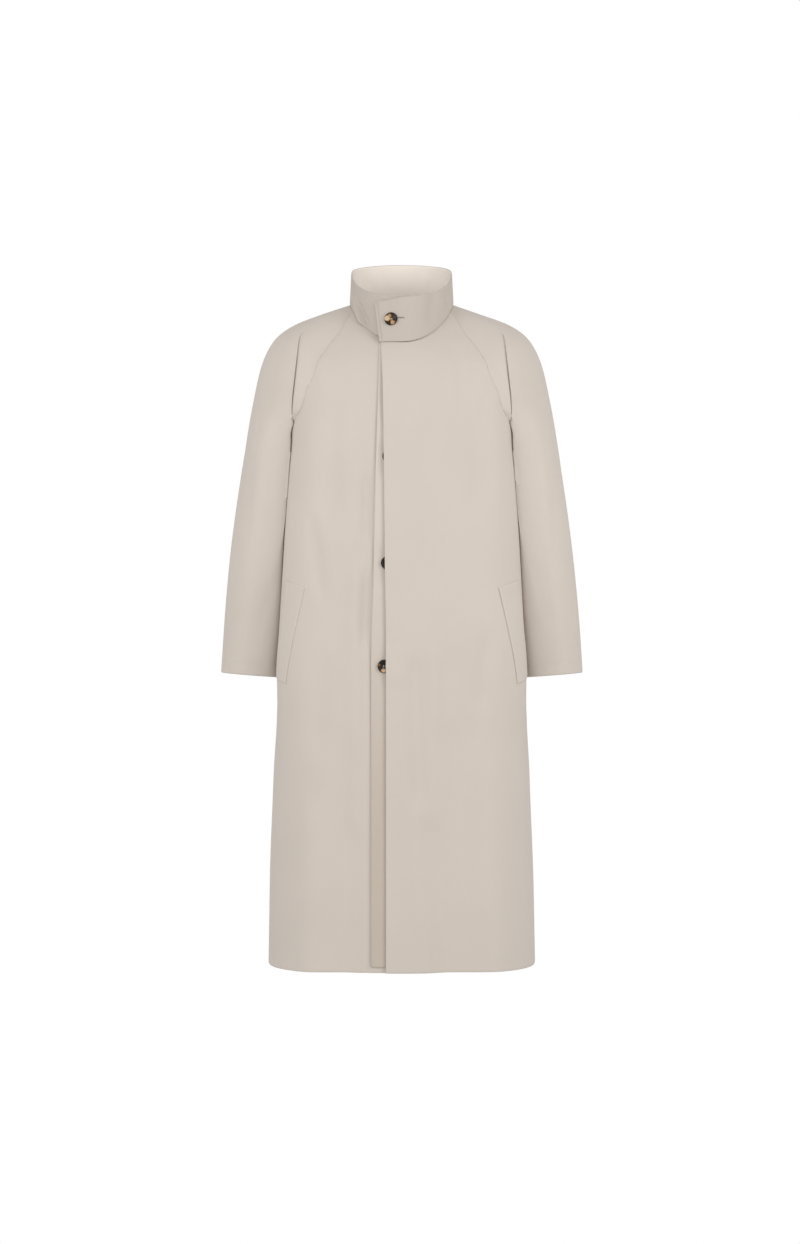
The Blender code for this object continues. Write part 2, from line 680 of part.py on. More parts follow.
def front_place(button, run, rise):
    """Place on the front near a button, by steps along and up."""
    height = button.height + rise
    return body_point(height, angle_at(height, button.across + run))


def collar_place(button, run, rise):
    """Place on the outer face of the collar near a button, by steps along and up."""
    angle = math.asin((button.across + run) / RIM_HALF)
    low = neck_point(angle)
    high = rim_point(angle)
    up = (button.height + rise - low[2]) / (high[2] - low[2])
    out = np.array([math.sin(angle), -math.cos(angle), 0.0])
    return low + (high - low) * up + out * (COLLAR_LIFT + COLLAR_OUT)


chest_shares = np.linspace(0.0, SPLIT, CHEST_ROWS + 1)
side_shares = np.linspace(SPLIT, 1.0, SIDE_ROWS + 1)
yoke_shares = np.concatenate([chest_shares, side_shares[1:]])
skirt_shares = np.linspace(0.0, 1.0, SKIRT_ROWS + 1)

# Fronts and back
left = front_grid(left_edge, yoke_shares, skirt_shares, FRONT_COLUMNS)
left[..., 1] -= front_lift(left[..., 0], left[..., 2])
right = front_grid(under_edge, yoke_shares, skirt_shares, FRONT_COLUMNS)
back = back_grid(yoke_shares, skirt_shares, BACK_COLUMNS)
add_cloth("front_left", with_folds(pull_in(left, False, True), "front"), CLOTH, GABARDINE)
add_cloth("front_right", with_folds(mirrored(pull_in(right, False, True)), "front"), CLOTH, GABARDINE)
add_cloth("back", with_folds(pull_in(back, True, True), "back"), CLOTH, GABARDINE)

# Sleeves
cuff_heights = np.linspace(SLEEVE[0].height, SLEEVE[-1].height, SLEEVE_ROWS + 1)[1:]
sleeve = sleeve_grid(yoke_shares, cuff_heights, SLEEVE_SHARES)
sleeve[:YOKE_ROWS] = pull_in(sleeve[:YOKE_ROWS], True, True)
add_cloth("sleeve_left", sleeve, CLOTH, GABARDINE, YOKE_ROWS)
add_cloth("sleeve_right", mirrored(sleeve), CLOTH, GABARDINE, YOKE_ROWS)

# Collar
outer = collar_grid(COLLAR_ROWS, COLLAR_COLUMNS, 0.0, COLLAR_GAP)
inner = collar_grid(COLLAR_ROWS, COLLAR_COLUMNS, COLLAR_PLY + SEAM_GAP, INNER_GAP)
add_cloth("collar", outer, COLLAR_PLY, COLLAR_CLOTH)
add_cloth("collar_inner", inner, COLLAR_PLY, COLLAR_CLOTH)

# What lies on the fronts
welt = welt_grid(left, yoke_shares)
add_cloth("fly_strip", with_folds(strip_grid(right), "front"), STRIP_PLY, STRIP_CLOTH)
add_cloth("pocket_welt_left", with_folds(welt, "front"), WELT_PLY, WELT_CLOTH)
add_cloth("pocket_welt_right", with_folds(mirrored(welt), "front"), WELT_PLY, WELT_CLOTH)

# Buttons
resin_button = button_mesh()
for front_button in FRONT_BUTTONS:
    add_button(front_button, resin_button, front_place, STRIP_PLY + BUTTON_GAP)
add_button(COLLAR_BUTTON, resin_button, collar_place, LAY_GAP)
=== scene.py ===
"""Looks of the long raglan overcoat: fine cloth on the forms of its pieces, with seams, soft folds,
stitching and buttons, in a plain white studio. Metres, +Z up, front towards -Y, the wearer's left
towards +X."""

import math
from collections import namedtuple

import bmesh
import bpy
import numpy as np
from mathutils import Matrix, Vector, kdtree, noise
from mathutils.bvhtree import BVHTree


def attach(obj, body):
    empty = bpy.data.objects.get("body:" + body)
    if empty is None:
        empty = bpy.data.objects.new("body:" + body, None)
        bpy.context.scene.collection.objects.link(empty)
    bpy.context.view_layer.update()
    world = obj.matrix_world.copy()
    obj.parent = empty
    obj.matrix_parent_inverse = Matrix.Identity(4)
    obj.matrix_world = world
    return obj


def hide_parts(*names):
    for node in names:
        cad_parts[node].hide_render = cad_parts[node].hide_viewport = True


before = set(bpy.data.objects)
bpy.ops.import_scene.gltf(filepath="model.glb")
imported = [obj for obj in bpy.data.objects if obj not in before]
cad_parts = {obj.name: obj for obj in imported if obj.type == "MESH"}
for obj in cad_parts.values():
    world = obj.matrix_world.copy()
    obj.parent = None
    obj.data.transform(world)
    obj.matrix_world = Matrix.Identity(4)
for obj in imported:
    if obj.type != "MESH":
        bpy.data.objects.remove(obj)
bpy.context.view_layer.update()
COAT = "root"
TO_RIGHT = np.array([-1.0, 1.0, 1.0])
SIDES = (("left", slice(None)), ("right", slice(None, None, -1)))
TINY = 0.000001

# Camera, level, at the middle of the photograph's frame
PHOTO_HEIGHT = 1244
PIXEL = 0.0017
CAMERA_PLACE = Vector((-0.0029, -3.8, -0.539))
SENSOR = 36.0

# Cloth and seams
CLOTH = 0.0015
COLLAR_PLY = 0.0012
STRIP_PLY = 0.0012
WELT_PLY = 0.0014
SEAM_GAP = 0.0003

# Whole garment. Rows of the fronts and back run level from LEVEL down, which they reach at a share of the way
# from the seam to the hem.
HEM = -1.109
UNDERARM = -0.285
LEVEL = -0.345
LEVEL_AT = 4 / 18
CUFF_TILT = math.radians(4.5)
LOBE_POWER = 2.2

# Neckline and collar, with places round the neck in degrees from centre front
NECK_HALF = 0.0870
NECK_FRONT = 0.098
NECK_BACK = 0.066
NECK_DROP = -0.076
NECK_RISE = 0.008
NECK_CURVE = 1.4
NECK_TAB_ROUND = 0.2
RIM_HALF = 0.0844
RIM_FRONT = 0.090
RIM_BACK = 0.074
RIM_SIDE = 0.0544
RIM_DROP = -0.0534
RIM_RISE = 0.0249
RIM_CURVE_FRONT = 0.9
RIM_CURVE_BACK = 0.85
COLLAR_GAP = 0.0008
INNER_GAP = 0.0016
INNER_TALL = 0.985
COLLAR_OUT = 0.0012
COLLAR_LIFT = 0.0062
COLLAR_LIFT_FROM = 55.0
COLLAR_LIFT_SPAN = 50.0
TAB_BASE = -23.2
TAB_RIM = -30.2
TAB_STEP = 0.085
TAB_STEP_FROM = 10.0
TAB_STEP_SPAN = 30.0
UNDER_END = 378.0

# Front lap, and what lies on the fronts
LAP_FLAT = -0.010
LAP_END = 0.090
LAP_LIFT = 0.0076
LAP_LIFT_NECK = 0.0060
LAP_NECK_FOOT = -0.080
LAP_NECK_FADE = 0.080
LAY_GAP = 0.0005
UNDER_LAP = 0.035
STRIP_REACH = 0.018
STRIP_FOOT = -1.100
STRIP_STEEP_FOOT = -0.170
STRIP_STEEP_FADE = 0.080
STRIP_STEEP_MORE = 0.4
STRIP_EDGE_LIFT = 0.0014
STRIP_EDGE_FADE = 0.008
WELT_GAP = 0.0003
WELT_TURN = 0.03
BUTTON_GAP = 0.0012

# Between its buttons the left front lies back towards the strip
SETTLE = 0.0018
SETTLE_CLEAR = 0.016
SETTLE_FADE = 0.025
SETTLE_END = 0.040

# Where the arm hangs against the body, which it dents
ARM_DEPTH = 0.008
ARM_GAP = 0.0006
ARM_ROUND = 0.0012
ARM_TURN = 0.012
DENT_SPREAD = 0.078
DENT_POWER = 4

# Inner side of the sleeve, drawn close along the body, which fades out downwards to its foot
SNUG_GAP = 0.0004
SNUG_TURN = 0.15
SNUG_DEEP = 0.02
SNUG_FOOT = -0.48
SNUG_FADE = 0.12

# Crease between chest and sleeve. The columns between its two middle shares lie in it where the ridge is far
# enough beyond it, in widths of the crease.
CREASE_WIDTH = 0.009
CREASE_CLEAR = 0.001
CREASE_HOLD_FROM = 1.2
CREASE_HOLD_OVER = 1.5
CREASE_LIMIT = 0.9
CREASE_SHARES = (0.0, 0.3, 0.5, 1.0)

# Where the raglan seams meet the neckline, how the fit to it fades downwards, and the share of the way down a
# seam where that fit ends and later columns of the fronts and back begin
NECK_SEAM = {"front": math.radians(70.0), "back": math.radians(135.0)}
NECK_FADE = 2.5
SPLIT = 3 / 7

# Buttons, their profile in shares of the radius and thickness from the middle of the face round to the back
BUTTON_RADIUS = 0.0110
BUTTON_THICK = 0.0030
BUTTON_SHARP = math.radians(40.0)
HOLES = 4
HOLE_RADIUS = 0.0010
HOLE_OFFSET = 0.0021
HOLE_BEVEL = HOLE_RADIUS / 6
HOLE_BEVEL_STEPS = 2
DRILL_LONG = BUTTON_THICK * 3
MERGE = 0.00001
Turn = namedtuple("Turn", "radius height")
BUTTON_PROFILE = [
    Turn(0.00, 0.56),
    Turn(0.58, 0.62),
    Turn(0.74, 0.93),
    Turn(0.93, 1.00),
    Turn(1.00, 0.45),
    Turn(0.86, 0.00),
    Turn(0.00, 0.00),
]

# Body form from hem to neck. Above the underarm it is as wide as the shoulders, and only its chest is used.
Body = namedtuple("Body", "height half_width front back squareness dent")
BODY = [
    Body(-1.109, 0.2245, 0.172, 0.160, 3.5, 0.0000),
    Body(-0.960, 0.2217, 0.169, 0.156, 3.5, 0.0000),
    Body(-0.800, 0.2157, 0.164, 0.150, 3.5, 0.0000),
    Body(-0.700, 0.2130, 0.160, 0.145, 3.6, 0.0040),
    Body(-0.628, 0.2155, 0.157, 0.141, 3.8, 0.0180),
    Body(-0.540, 0.2108, 0.154, 0.137, 4.0, 0.0205),
    Body(-0.450, 0.2060, 0.152, 0.134, 4.0, 0.0215),
    Body(-0.360, 0.2015, 0.150, 0.132, 4.0, 0.0225),
    Body(-0.285, 0.1965, 0.147, 0.130, 4.0, 0.0185),
    Body(-0.235, 0.1930, 0.144, 0.128, 4.0, 0.0125),
    Body(-0.190, 0.1935, 0.139, 0.125, 3.8, 0.0030),
    Body(-0.150, 0.2180, 0.132, 0.120, 3.0, 0.0000),
    Body(-0.110, 0.2400, 0.119, 0.112, 2.5, 0.0000),
    Body(-0.076, 0.2270, 0.098, 0.101, 2.1, 0.0000),
    Body(-0.048, 0.2050, 0.071, 0.090, 2.0, 0.0000),
    Body(-0.020, 0.1530, 0.039, 0.077, 2.0, 0.0000),
    Body(0.006, 0.0900, 0.010, 0.067, 2.0, 0.0000),
]

# Raglan part from the neckline down to the underarm: the front and back seams, the ridge between them, the
# fold where the chest stands in front of the sleeve, and the sleeve's own half depth beyond that fold.
Yoke = namedtuple(
    "Yoke",
    "front_height front_angle ridge_height ridge_across ridge_depth"
    " crease lobe_front lobe_back back_height back_angle",
)
YOKE = [
    Yoke(-0.0199, 33.0, 0.0000, 0.0870, 0.000, 0.160, 0.0335, 0.047, 0.0053, 136.0),
    Yoke(-0.0500, 29.1, -0.0198, 0.1420, 0.002, 0.163, 0.0640, 0.069, -0.0300, 151.0),
    Yoke(-0.0810, 31.4, -0.0363, 0.1840, 0.004, 0.167, 0.0910, 0.083, -0.0650, 152.0),
    Yoke(-0.1210, 34.0, -0.0608, 0.2170, 0.006, 0.171, 0.1120, 0.094, -0.1050, 149.0),
    Yoke(-0.1600, 41.4, -0.1020, 0.2380, 0.008, 0.1765, 0.1180, 0.100, -0.1550, 144.0),
    Yoke(-0.1950, 48.9, -0.1550, 0.2500, 0.009, 0.1815, 0.1145, 0.094, -0.1950, 132.0),
    Yoke(-0.2350, 65.0, -0.2080, 0.2600, 0.010, 0.1850, 0.1125, 0.093, -0.2400, 117.0),
    Yoke(-0.2850, 94.4, -0.2770, 0.2700, 0.010, 0.1870, 0.1080, 0.092, -0.2850, 94.4),
]

# Sleeve below the underarm, squarer on its inner side where it lies against the body
Sleeve = namedtuple("Sleeve", "height centre half_width depth front back inner_square")
SLEEVE = [
    Sleeve(-0.2810, 0.2240, 0.0460, 0.010, 0.108, 0.092, 7.0),
    Sleeve(-0.3600, 0.2330, 0.0480, -0.004, 0.093, 0.090, 7.0),
    Sleeve(-0.4500, 0.2418, 0.0498, -0.011, 0.080, 0.082, 6.0),
    Sleeve(-0.5400, 0.2488, 0.0510, -0.012, 0.069, 0.072, 5.0),
    Sleeve(-0.6280, 0.2555, 0.0505, -0.010, 0.060, 0.062, 3.4),
]

# Front edges across the middle
Edge = namedtuple("Edge", "height left strip")
EDGE = [
    Edge(-1.109, -0.0258, -0.0501),
    Edge(-0.570, -0.0260, -0.0500),
    Edge(-0.470, -0.0274, -0.0468),
    Edge(-0.315, -0.0290, -0.0436),
    Edge(-0.160, -0.0312, -0.0388),
    Edge(-0.070, -0.0352, -0.0374),
]

# Largest soft folds, each from its top to its foot: a trough where depth is above zero, a ridge below zero
FOLD_FADE = 0.08
Fold = namedtuple("Fold", "side top_across foot_across top foot width depth")
FOLDS = [
    Fold("front", -0.112, -0.118, -0.150, -0.420, 0.020, 0.0051),
    Fold("front", -0.126, -0.142, -0.560, -0.780, 0.022, 0.0048),
    Fold("front", -0.082, -0.096, -0.700, -1.190, 0.030, 0.0054),
    Fold("front", -0.150, -0.162, -0.800, -1.190, 0.024, -0.0042),
    Fold("front", 0.122, 0.130, -0.100, -0.390, 0.022, 0.0054),
    Fold("front", 0.060, 0.070, -0.140, -0.640, 0.028, -0.0038),
    Fold("front", 0.088, 0.104, -0.660, -1.190, 0.030, 0.0048),
    Fold("front", 0.140, 0.166, -0.720, -1.190, 0.026, -0.0038),
    Fold("back", -0.108, -0.126, -0.170, -0.620, 0.024, 0.0058),
    Fold("back", 0.104, 0.120, -0.190, -0.660, 0.026, 0.0054),
    Fold("back", -0.052, -0.066, -0.520, -1.190, 0.034, 0.0061),
    Fold("back", 0.040, 0.058, -0.600, -1.190, 0.030, -0.0048),
    Fold("back", 0.120, 0.150, -0.660, -1.190, 0.030, 0.0054),
]

# Pocket welt corners on the front: height, and degrees round the body from centre front
Corner = namedtuple("Corner", "height angle")
WELT_TOP = (Corner(-0.482, 40.2), Corner(-0.469, 52.3))
WELT_FOOT = (Corner(-0.641, 48.8), Corner(-0.632, 60.5))

# Buttons on the front: place across and height
Button = namedtuple("Button", "name across height")
FRONT_BUTTONS = [
    Button("front_button_1", -0.0208, -0.2682),
    Button("front_button_2", -0.0232, -0.4427),
    Button("front_button_3", -0.0284, -0.6113),
]
COLLAR_BUTTON = Button("collar_button", -0.0161, -0.0375)

# Smaller folds of the fronts and back, with the same columns
CREASES = [
    Fold("front", -0.056, -0.058, -0.270, -0.430, 0.0090, 0.0048),
    Fold("front", -0.056, -0.062, -0.440, -0.600, 0.0100, 0.0054),
    Fold("front", -0.074, -0.078, -0.420, -0.900, 0.0160, -0.0042),
    Fold("front", -0.150, -0.128, -0.350, -0.520, 0.0130, 0.0036),
    Fold("front", 0.020, 0.030, -0.580, -0.860, 0.0150, 0.0054),
    Fold("front", 0.045, 0.075, -0.840, -1.160, 0.0200, 0.0054),
    Fold("front", 0.052, 0.056, -0.560, -0.740, 0.0120, -0.0030),
    Fold("front", 0.140, 0.128, -0.540, -0.700, 0.0150, 0.0042),
    Fold("front", 0.096, 0.100, -0.060, -0.220, 0.0120, 0.0030),
    Fold("back", -0.030, -0.034, -0.060, -0.380, 0.0180, 0.0042),
    Fold("back", 0.046, 0.052, -0.080, -0.330, 0.0150, 0.0039),
    Fold("back", -0.150, -0.132, -0.360, -0.560, 0.0150, 0.0042),
    Fold("back", 0.148, 0.128, -0.400, -0.620, 0.0150, 0.0042),
    Fold("back", 0.004, 0.012, -0.560, -0.940, 0.0160, 0.0045),
    Fold("back", -0.110, -0.128, -0.760, -1.160, 0.0200, -0.0048),
]

# Soft folds of the sleeves, across in degrees round the arm from its front towards its outside
SLEEVE_CREASES = [
    Fold("left", -52.0, -40.0, -0.180, -0.330, 0.0110, 0.0016),
    Fold("left", 30.0, 12.0, -0.300, -0.470, 0.0140, 0.0014),
    Fold("left", -30.0, 6.0, -0.420, -0.560, 0.0120, 0.0012),
    Fold("left", 62.0, 58.0, -0.220, -0.600, 0.0160, -0.0010),
    Fold("left", 150.0, 138.0, -0.240, -0.460, 0.0150, 0.0018),
    Fold("left", 205.0, 190.0, -0.330, -0.560, 0.0130, 0.0016),
    Fold("right", -50.0, -44.0, -0.200, -0.360, 0.0110, 0.0015),
    Fold("right", 36.0, 20.0, -0.260, -0.430, 0.0140, 0.0013),
    Fold("right", -34.0, -4.0, -0.450, -0.590, 0.0120, 0.0014),
    Fold("right", 70.0, 60.0, -0.240, -0.580, 0.0160, -0.0011),
    Fold("right", 146.0, 132.0, -0.260, -0.500, 0.0150, 0.0017),
    Fold("right", 200.0, 182.0, -0.360, -0.580, 0.0130, 0.0016),
]

# Soft folds of the collar, across in degrees round the neck from centre front
COLLAR_CREASES = [
    Fold("collar", 286.0, 316.0, 0.020, -0.056, 0.0060, -0.0048),
    Fold("collar", 300.0, 326.0, 0.004, -0.058, 0.0055, 0.0044),
    Fold("collar", -16.0, -12.0, 0.004, -0.026, 0.0030, 0.0011),
    Fold("collar", -4.0, -9.0, 0.004, -0.028, 0.0028, 0.0009),
    Fold("collar", 38.0, 30.0, 0.020, -0.050, 0.0090, 0.0034),
    Fold("collar", 62.0, 66.0, 0.026, -0.024, 0.0100, 0.0034),
    Fold("collar", 150.0, 156.0, 0.070, 0.010, 0.0100, 0.0018),
    Fold("collar", 214.0, 208.0, 0.074, 0.012, 0.0100, 0.0020),
]
CREASE_FADE = 0.05
COLLAR_FADE = 0.02

# Seams and edges of the cloth, its puckers and ripples, and the finer steps of a grid by an edge
SEAM_POINTS = 160
LINE_STEP = 0.0005
SEAM_ROLL = 0.0002
SEAM_WIDTH = 0.0030
SEAM_CALM = 0.025
FREE_ROLL = 0.0006
FREE_WIDTH = 0.0014
PUCKER = 0.00018
PUCKER_REACH = 0.008
PUCKER_LENGTH = 0.021
PUCKER_NOISE = 30.0
PUCKER_SHIFT = 3.0
PUCKER_LEAST = 0.6
RIPPLE = 0.0009
RIPPLE_SCALE = 7.0
RIPPLE_STRETCH = np.array([1.6, 1.6, 0.7])
RIPPLE_STARTS = {
    "front_left": 3.0,
    "front_right": 11.0,
    "back": 19.0,
    "sleeve_left": 29.0,
    "sleeve_right": 37.0,
    "collar": 43.0,
}
COLLAR_RIPPLE = 0.5
EDGE_STEPS = np.array([0.0006, 0.0014, 0.0024, 0.0038, 0.0058])
FRONT_EDGE = 0
HEM_EDGE = 1
CORNER_ROUND = 0.006
CORNER_RISE = 0.03

# Fold where the sleeve hangs behind the chest, deeper and then narrower downwards. Its cloth turns in under a
# lip: how far it moves sideways and in, by the share of the crease.
FOLD_TOP = -0.051
FOLD_OPEN = 0.007
FOLD_DEEPEN = 0.12
FOLD_START = 0.5
FOLD_FOOT = -0.211
FOLD_NARROW_FROM = 0.64
FOLD_NARROW_TO = 0.78
FOLD_NARROWEST = 0.4
FOLD_CLOSE = 0.010
FOLD_SHIFT = -0.0026
FOLD_LEAST = 0.1642
Tuck = namedtuple("Tuck", "share side deep")
TUCK = [
    Tuck(-1.50, 0.0000, 0.0000),
    Tuck(-0.40, 0.0000, -0.0004),
    Tuck(0.20, 0.0000, -0.0004),
    Tuck(0.30, -0.0001, -0.0002),
    Tuck(0.38, -0.0005, 0.0007),
    Tuck(0.46, -0.0013, 0.0028),
    Tuck(0.54, -0.0016, 0.0038),
    Tuck(0.62, -0.0017, 0.0018),
    Tuck(0.70, -0.0022, -0.0007),
    Tuck(0.80, -0.0026, -0.0023),
    Tuck(0.92, -0.0025, -0.0029),
    Tuck(1.00, -0.0018, -0.0026),
    Tuck(1.30, -0.0009, -0.0016),
    Tuck(1.70, -0.0003, -0.0007),
    Tuck(2.40, 0.0000, 0.0000),
]
EVEN_PASSES = 24

# Sewing: rows of stitches and their grooves, then the buttonhole
STITCH = 0.0024
STITCH_PITCH = 0.0032
STITCH_STATIONS = 5
STITCH_SINK = 0.5
THREAD_RADIUS = 0.00024
THREAD_SIDES = 6
THREAD_ENDS = (0.18, 0.82)
THREAD_TAPER = 0.5
COLLAR_STITCH_IN = 0.005
CUFF_STITCH_UP = 0.021
CUFF_GROOVE = 0.25
TAB_GROOVE = 1.2
WELT_SINK = 1.6
HOLE_FROM = -0.0030
HOLE_TO = 0.0200
HOLE_UP = 0.0022
HOLE_SLIT = 0.00035
HOLE_DEEP = 0.0017
HOLE_STITCHES = 42
HOLE_STATIONS = 4
HOLE_PROUD = 0.6 * THREAD_RADIUS

# Threads through a button, by the share of their way: the stretch over the face, the climb at each end and
# how far they stand above the middle of the face
BUTTON_THREAD = THREAD_RADIUS * 1.2
BUTTON_THREAD_POINTS = 9
BUTTON_THREAD_FROM = 0.2
BUTTON_THREAD_OVER = 0.6
BUTTON_THREAD_CLIMB = 2.2
BUTTON_THREAD_PROUD = THREAD_RADIUS * 1.6

# Top of the fly strip, as a share of the way down to the underarm
STRIP_TOP = 0.0514

# Looks of the cloth: twill lines, yarns and cloudy tone, each with its reach above and below the even tone,
# and the heights on a sheet between which the painted shade at its foot fades out
TWILL_LEAN = (1.0, 0.55, 1.0)
TWILL = {"Scale": 420.0, "Distortion": 0.6, "Detail": 1.0}
TWILL_BUMP = 0.35
TWILL_DEPTH = 0.00025
TWILL_TONE = 0.018
YARN_SCALE = 900.0
YARN_DETAIL = 2.0
YARN_TONE = 0.03
CLOUD_SCALE = 9.0
CLOUD_DETAIL = 3.0
CLOUD_TONE = 0.02
FOOT_SHADE = (0.15, 0.75)
CLOTH_SURFACE = {
    "Roughness": 0.86,
    "Specular_IOR_Level": 0.22,
    "Sheen_Weight": 0.12,
    "Sheen_Roughness": 0.5,
}

# Looks of thread and of the tortoiseshell, with the patches of each button
THREAD_SURFACE = {"Roughness": 0.7, "Sheen_Weight": 0.1}
THREAD_FUZZ = 900.0
THREAD_FUZZ_DETAIL = 2.0
THREAD_DIM = 0.86
RESIN_SURFACE = {"Roughness": 0.34, "Specular_IOR_Level": 0.3}
SWIRL_SCALE = 260.0
SWIRL_DETAIL = 3.0
PATCH_PULL = 0.004
PATCH_CORE = 0.45
TORTOISE = [(0.010, 0.006, 0.004), (0.045, 0.018, 0.007), (0.32, 0.16, 0.05), (0.56, 0.43, 0.28)]
Patch = namedtuple("Patch", "x y size light")
PATCHES = {
    "collar_button": [
        Patch(-0.0062, 0.0005, 0.0070, 0.95),
        Patch(-0.0020, 0.0050, 0.0050, 0.75),
        Patch(0.0030, -0.0060, 0.0060, 0.80),
        Patch(0.0005, -0.0010, 0.0040, 0.70),
    ],
    "front_button_1": [Patch(-0.0060, -0.0040, 0.0036, 0.6)],
    "front_button_2": [Patch(0.0020, -0.0060, 0.0040, 0.5)],
    "front_button_3": [Patch(-0.0010, -0.0070, 0.0056, 0.85), Patch(-0.0080, 0.0020, 0.0030, 0.5)],
}

# Studio: a white backdrop behind the coat, by the cosine of the angle from straight back, and a dimmer room
WHITE = (1.0, 1.0, 1.0)
BACKDROP_LIGHT = 1.0
BACKDROP_EDGE = (0.62, 0.80)
ROOM_LIGHT_LOW = 0.55
ROOM_LIGHT_HIGH = 0.66
FLOOR_HEIGHT = -2.2
FLOOR_RADIUS = 2.0
FLOOR_SIDES = 96
FLOOR_TONES = ((0.88, 0.88, 0.88), (0.92, 0.92, 0.92))
FLOOR_GRAIN = 3.0
FLOOR_ROUGHNESS = 0.9
Light = namedtuple("Light", "name place aim wide tall watts")
LIGHTS = [
    Light("right_light", (1.70, -1.45, 0.05), (0.0, 0.0, -0.30), 1.0, 1.2, 19.8),
    Light("left_light", (-1.70, -1.45, 0.05), (0.0, 0.0, -0.30), 1.0, 1.2, 17.5),
    Light("front_light", (0.0, -3.00, 0.40), (0.0, 0.0, -0.50), 1.0, 1.0, 13.0),
]

# Grid counts
CHEST_ROWS = 44
SIDE_COLUMNS = 44
SKIRT_ROWS = 170
FRONT_COLUMNS = 52
BACK_COLUMNS = 30
SLEEVE_ROWS = 84
SLEEVE_COUNTS = (14, 26, 40)
COLLAR_ROWS = 22
COLLAR_COLUMNS = 300
STRIP_COLUMNS = 12
WELT_ROWS = 60
WELT_COLUMNS = 14
BUTTON_SIDES = 64
BUTTON_HOLE_SIDES = 16


def smooth(table, by, name, at):
    """Value of one named column at the places given, by a cubic that does not overshoot its rows."""
    rows = sorted(table, key=lambda row: getattr(row, by))
    knots = np.array([getattr(row, by) for row in rows])
    values = np.array([getattr(row, name) for row in rows])
    step = np.diff(knots)
    rise = np.diff(values) / step
    slope = np.zeros_like(values)
    same_way = rise[1:] * rise[:-1] > 0
    total = np.where(same_way, rise[1:] + rise[:-1], 1.0)
    slope[1:-1] = np.where(same_way, 2 * rise[1:] * rise[:-1] / total, 0.0)
    slope[0] = rise[0]
    slope[-1] = rise[-1]
    at = np.clip(np.asarray(at, dtype=float), knots[0], knots[-1])
    cell = np.clip(np.searchsorted(knots, at) - 1, 0, len(step) - 1)
    on = (at - knots[cell]) / step[cell]
    near = (1 + 2 * on) * (1 - on) ** 2 * values[cell] + on * (1 - on) ** 2 * step[cell] * slope[cell]
    far = on * on * (3 - 2 * on) * values[cell + 1] + on * on * (on - 1) * step[cell] * slope[cell + 1]
    return near + far


def along(table, name, share):
    """Value of one named column at a share of the way down the table."""
    Numbered = namedtuple("Numbered", "place value")
    last = len(table) - 1
    numbered = [Numbered(i / last, getattr(row, name)) for i, row in enumerate(table)]
    return smooth(numbered, "place", "value", share)


def ease(share):
    share = np.clip(share, 0.0, 1.0)
    return share * share * (3 - 2 * share)


def power(value, exponent):
    return np.sign(value) * np.abs(value) ** exponent


def body(name, height):
    """Value of one named column of the body form at the heights given."""
    return smooth(BODY, "height", name, height)


def dent_at(height, depth):
    """How far the arm presses the side of the body form in."""
    return body("dent", height) * np.exp(-(((depth - ARM_DEPTH) / DENT_SPREAD) ** DENT_POWER))


def body_point(height, angle):
    """Point of the body form, the angle going from centre front to the wearer's left, the back and round."""
    height, angle = np.broadcast_arrays(np.asarray(height, float), np.asarray(angle, float))
    square = body("squareness", height)
    sine = np.sin(angle)
    cosine = np.cos(angle)
    reach = (np.abs(sine) ** square + np.abs(cosine) ** square) ** (-1 / square)
    front = body("front", height)
    back = body("back", height)
    x = body("half_width", height) * reach * sine
    y = -np.where(cosine > 0, front, back) * reach * cosine
    return np.stack([x - np.sign(x) * dent_at(height, y), y, height], -1)


def clear_of_body(x, depth, height):
    """Places across moved out, with a soft turn, to where the arm lies clear of the side of the body form."""
    square = body("squareness", height)
    front = body("front", height)
    back = body("back", height)
    share = np.clip(np.abs(depth) / np.where(depth < 0, front, back), 0.0, 1.0)
    side = body("half_width", height) * (1 - share**square) ** (1 / square)
    side = side - dent_at(height, depth) + ARM_GAP
    return (x + side + np.hypot(x - side, ARM_ROUND)) / 2


def beside_body(depth, height):
    """Places across where the inner side of the sleeve lies close along the body form."""
    return clear_of_body(np.zeros_like(depth), depth, height) + SNUG_GAP


def angle_at(height, across):
    """Angle of the body form's front at a distance across from the middle."""
    square = body("squareness", height)
    x = across / body("half_width", height)
    return np.arctan2(x, (1 - np.abs(x) ** square) ** (1 / square))


def neck_point(angle):
    """Point of the neckline, the angle as for the body; it runs level past the middle, where fronts lap."""
    cosine = np.cos(angle)
    level = np.cos(np.clip(angle, 0.0, 2 * math.pi))
    deep = np.where(cosine > 0, NECK_FRONT, NECK_BACK)
    rise = np.where(level > 0, NECK_DROP, NECK_RISE) * np.abs(level) ** NECK_CURVE
    flat = np.where(angle < 0, 1 + NECK_TAB_ROUND * (cosine - 1), cosine)
    return np.stack([NECK_HALF * np.sin(angle), -deep * flat, rise], -1)


def rim_point(angle):
    """Point of the collar's upper rim."""
    cosine = np.cos(angle)
    level = np.cos(np.clip(angle, 0.0, 2 * math.pi))
    deep = np.where(cosine > 0, RIM_FRONT, RIM_BACK)
    steep = np.abs(level)
    rise = np.where(level > 0, RIM_DROP * steep**RIM_CURVE_FRONT, RIM_RISE * steep**RIM_CURVE_BACK)
    return np.stack([RIM_HALF * np.sin(angle), -deep * cosine, RIM_SIDE + rise], -1)


def neck_weight(share):
    """How much of the fit to the neckline is left at a share of the way down to the underarm."""
    return np.clip(1 - share / SPLIT, 0.0, 1.0) ** NECK_FADE


def seam_point(share, side):
    """Point of the front or back raglan seam at a share of the way from the neckline to the underarm."""
    angles = np.radians(along(YOKE, side + "_angle", np.array([share, 0.0])))
    heights = along(YOKE, side + "_height", np.array([share, 0.0]))
    form = body_point(heights, angles)
    return form[0] + (neck_point(NECK_SEAM[side]) - form[1]) * neck_weight(share)


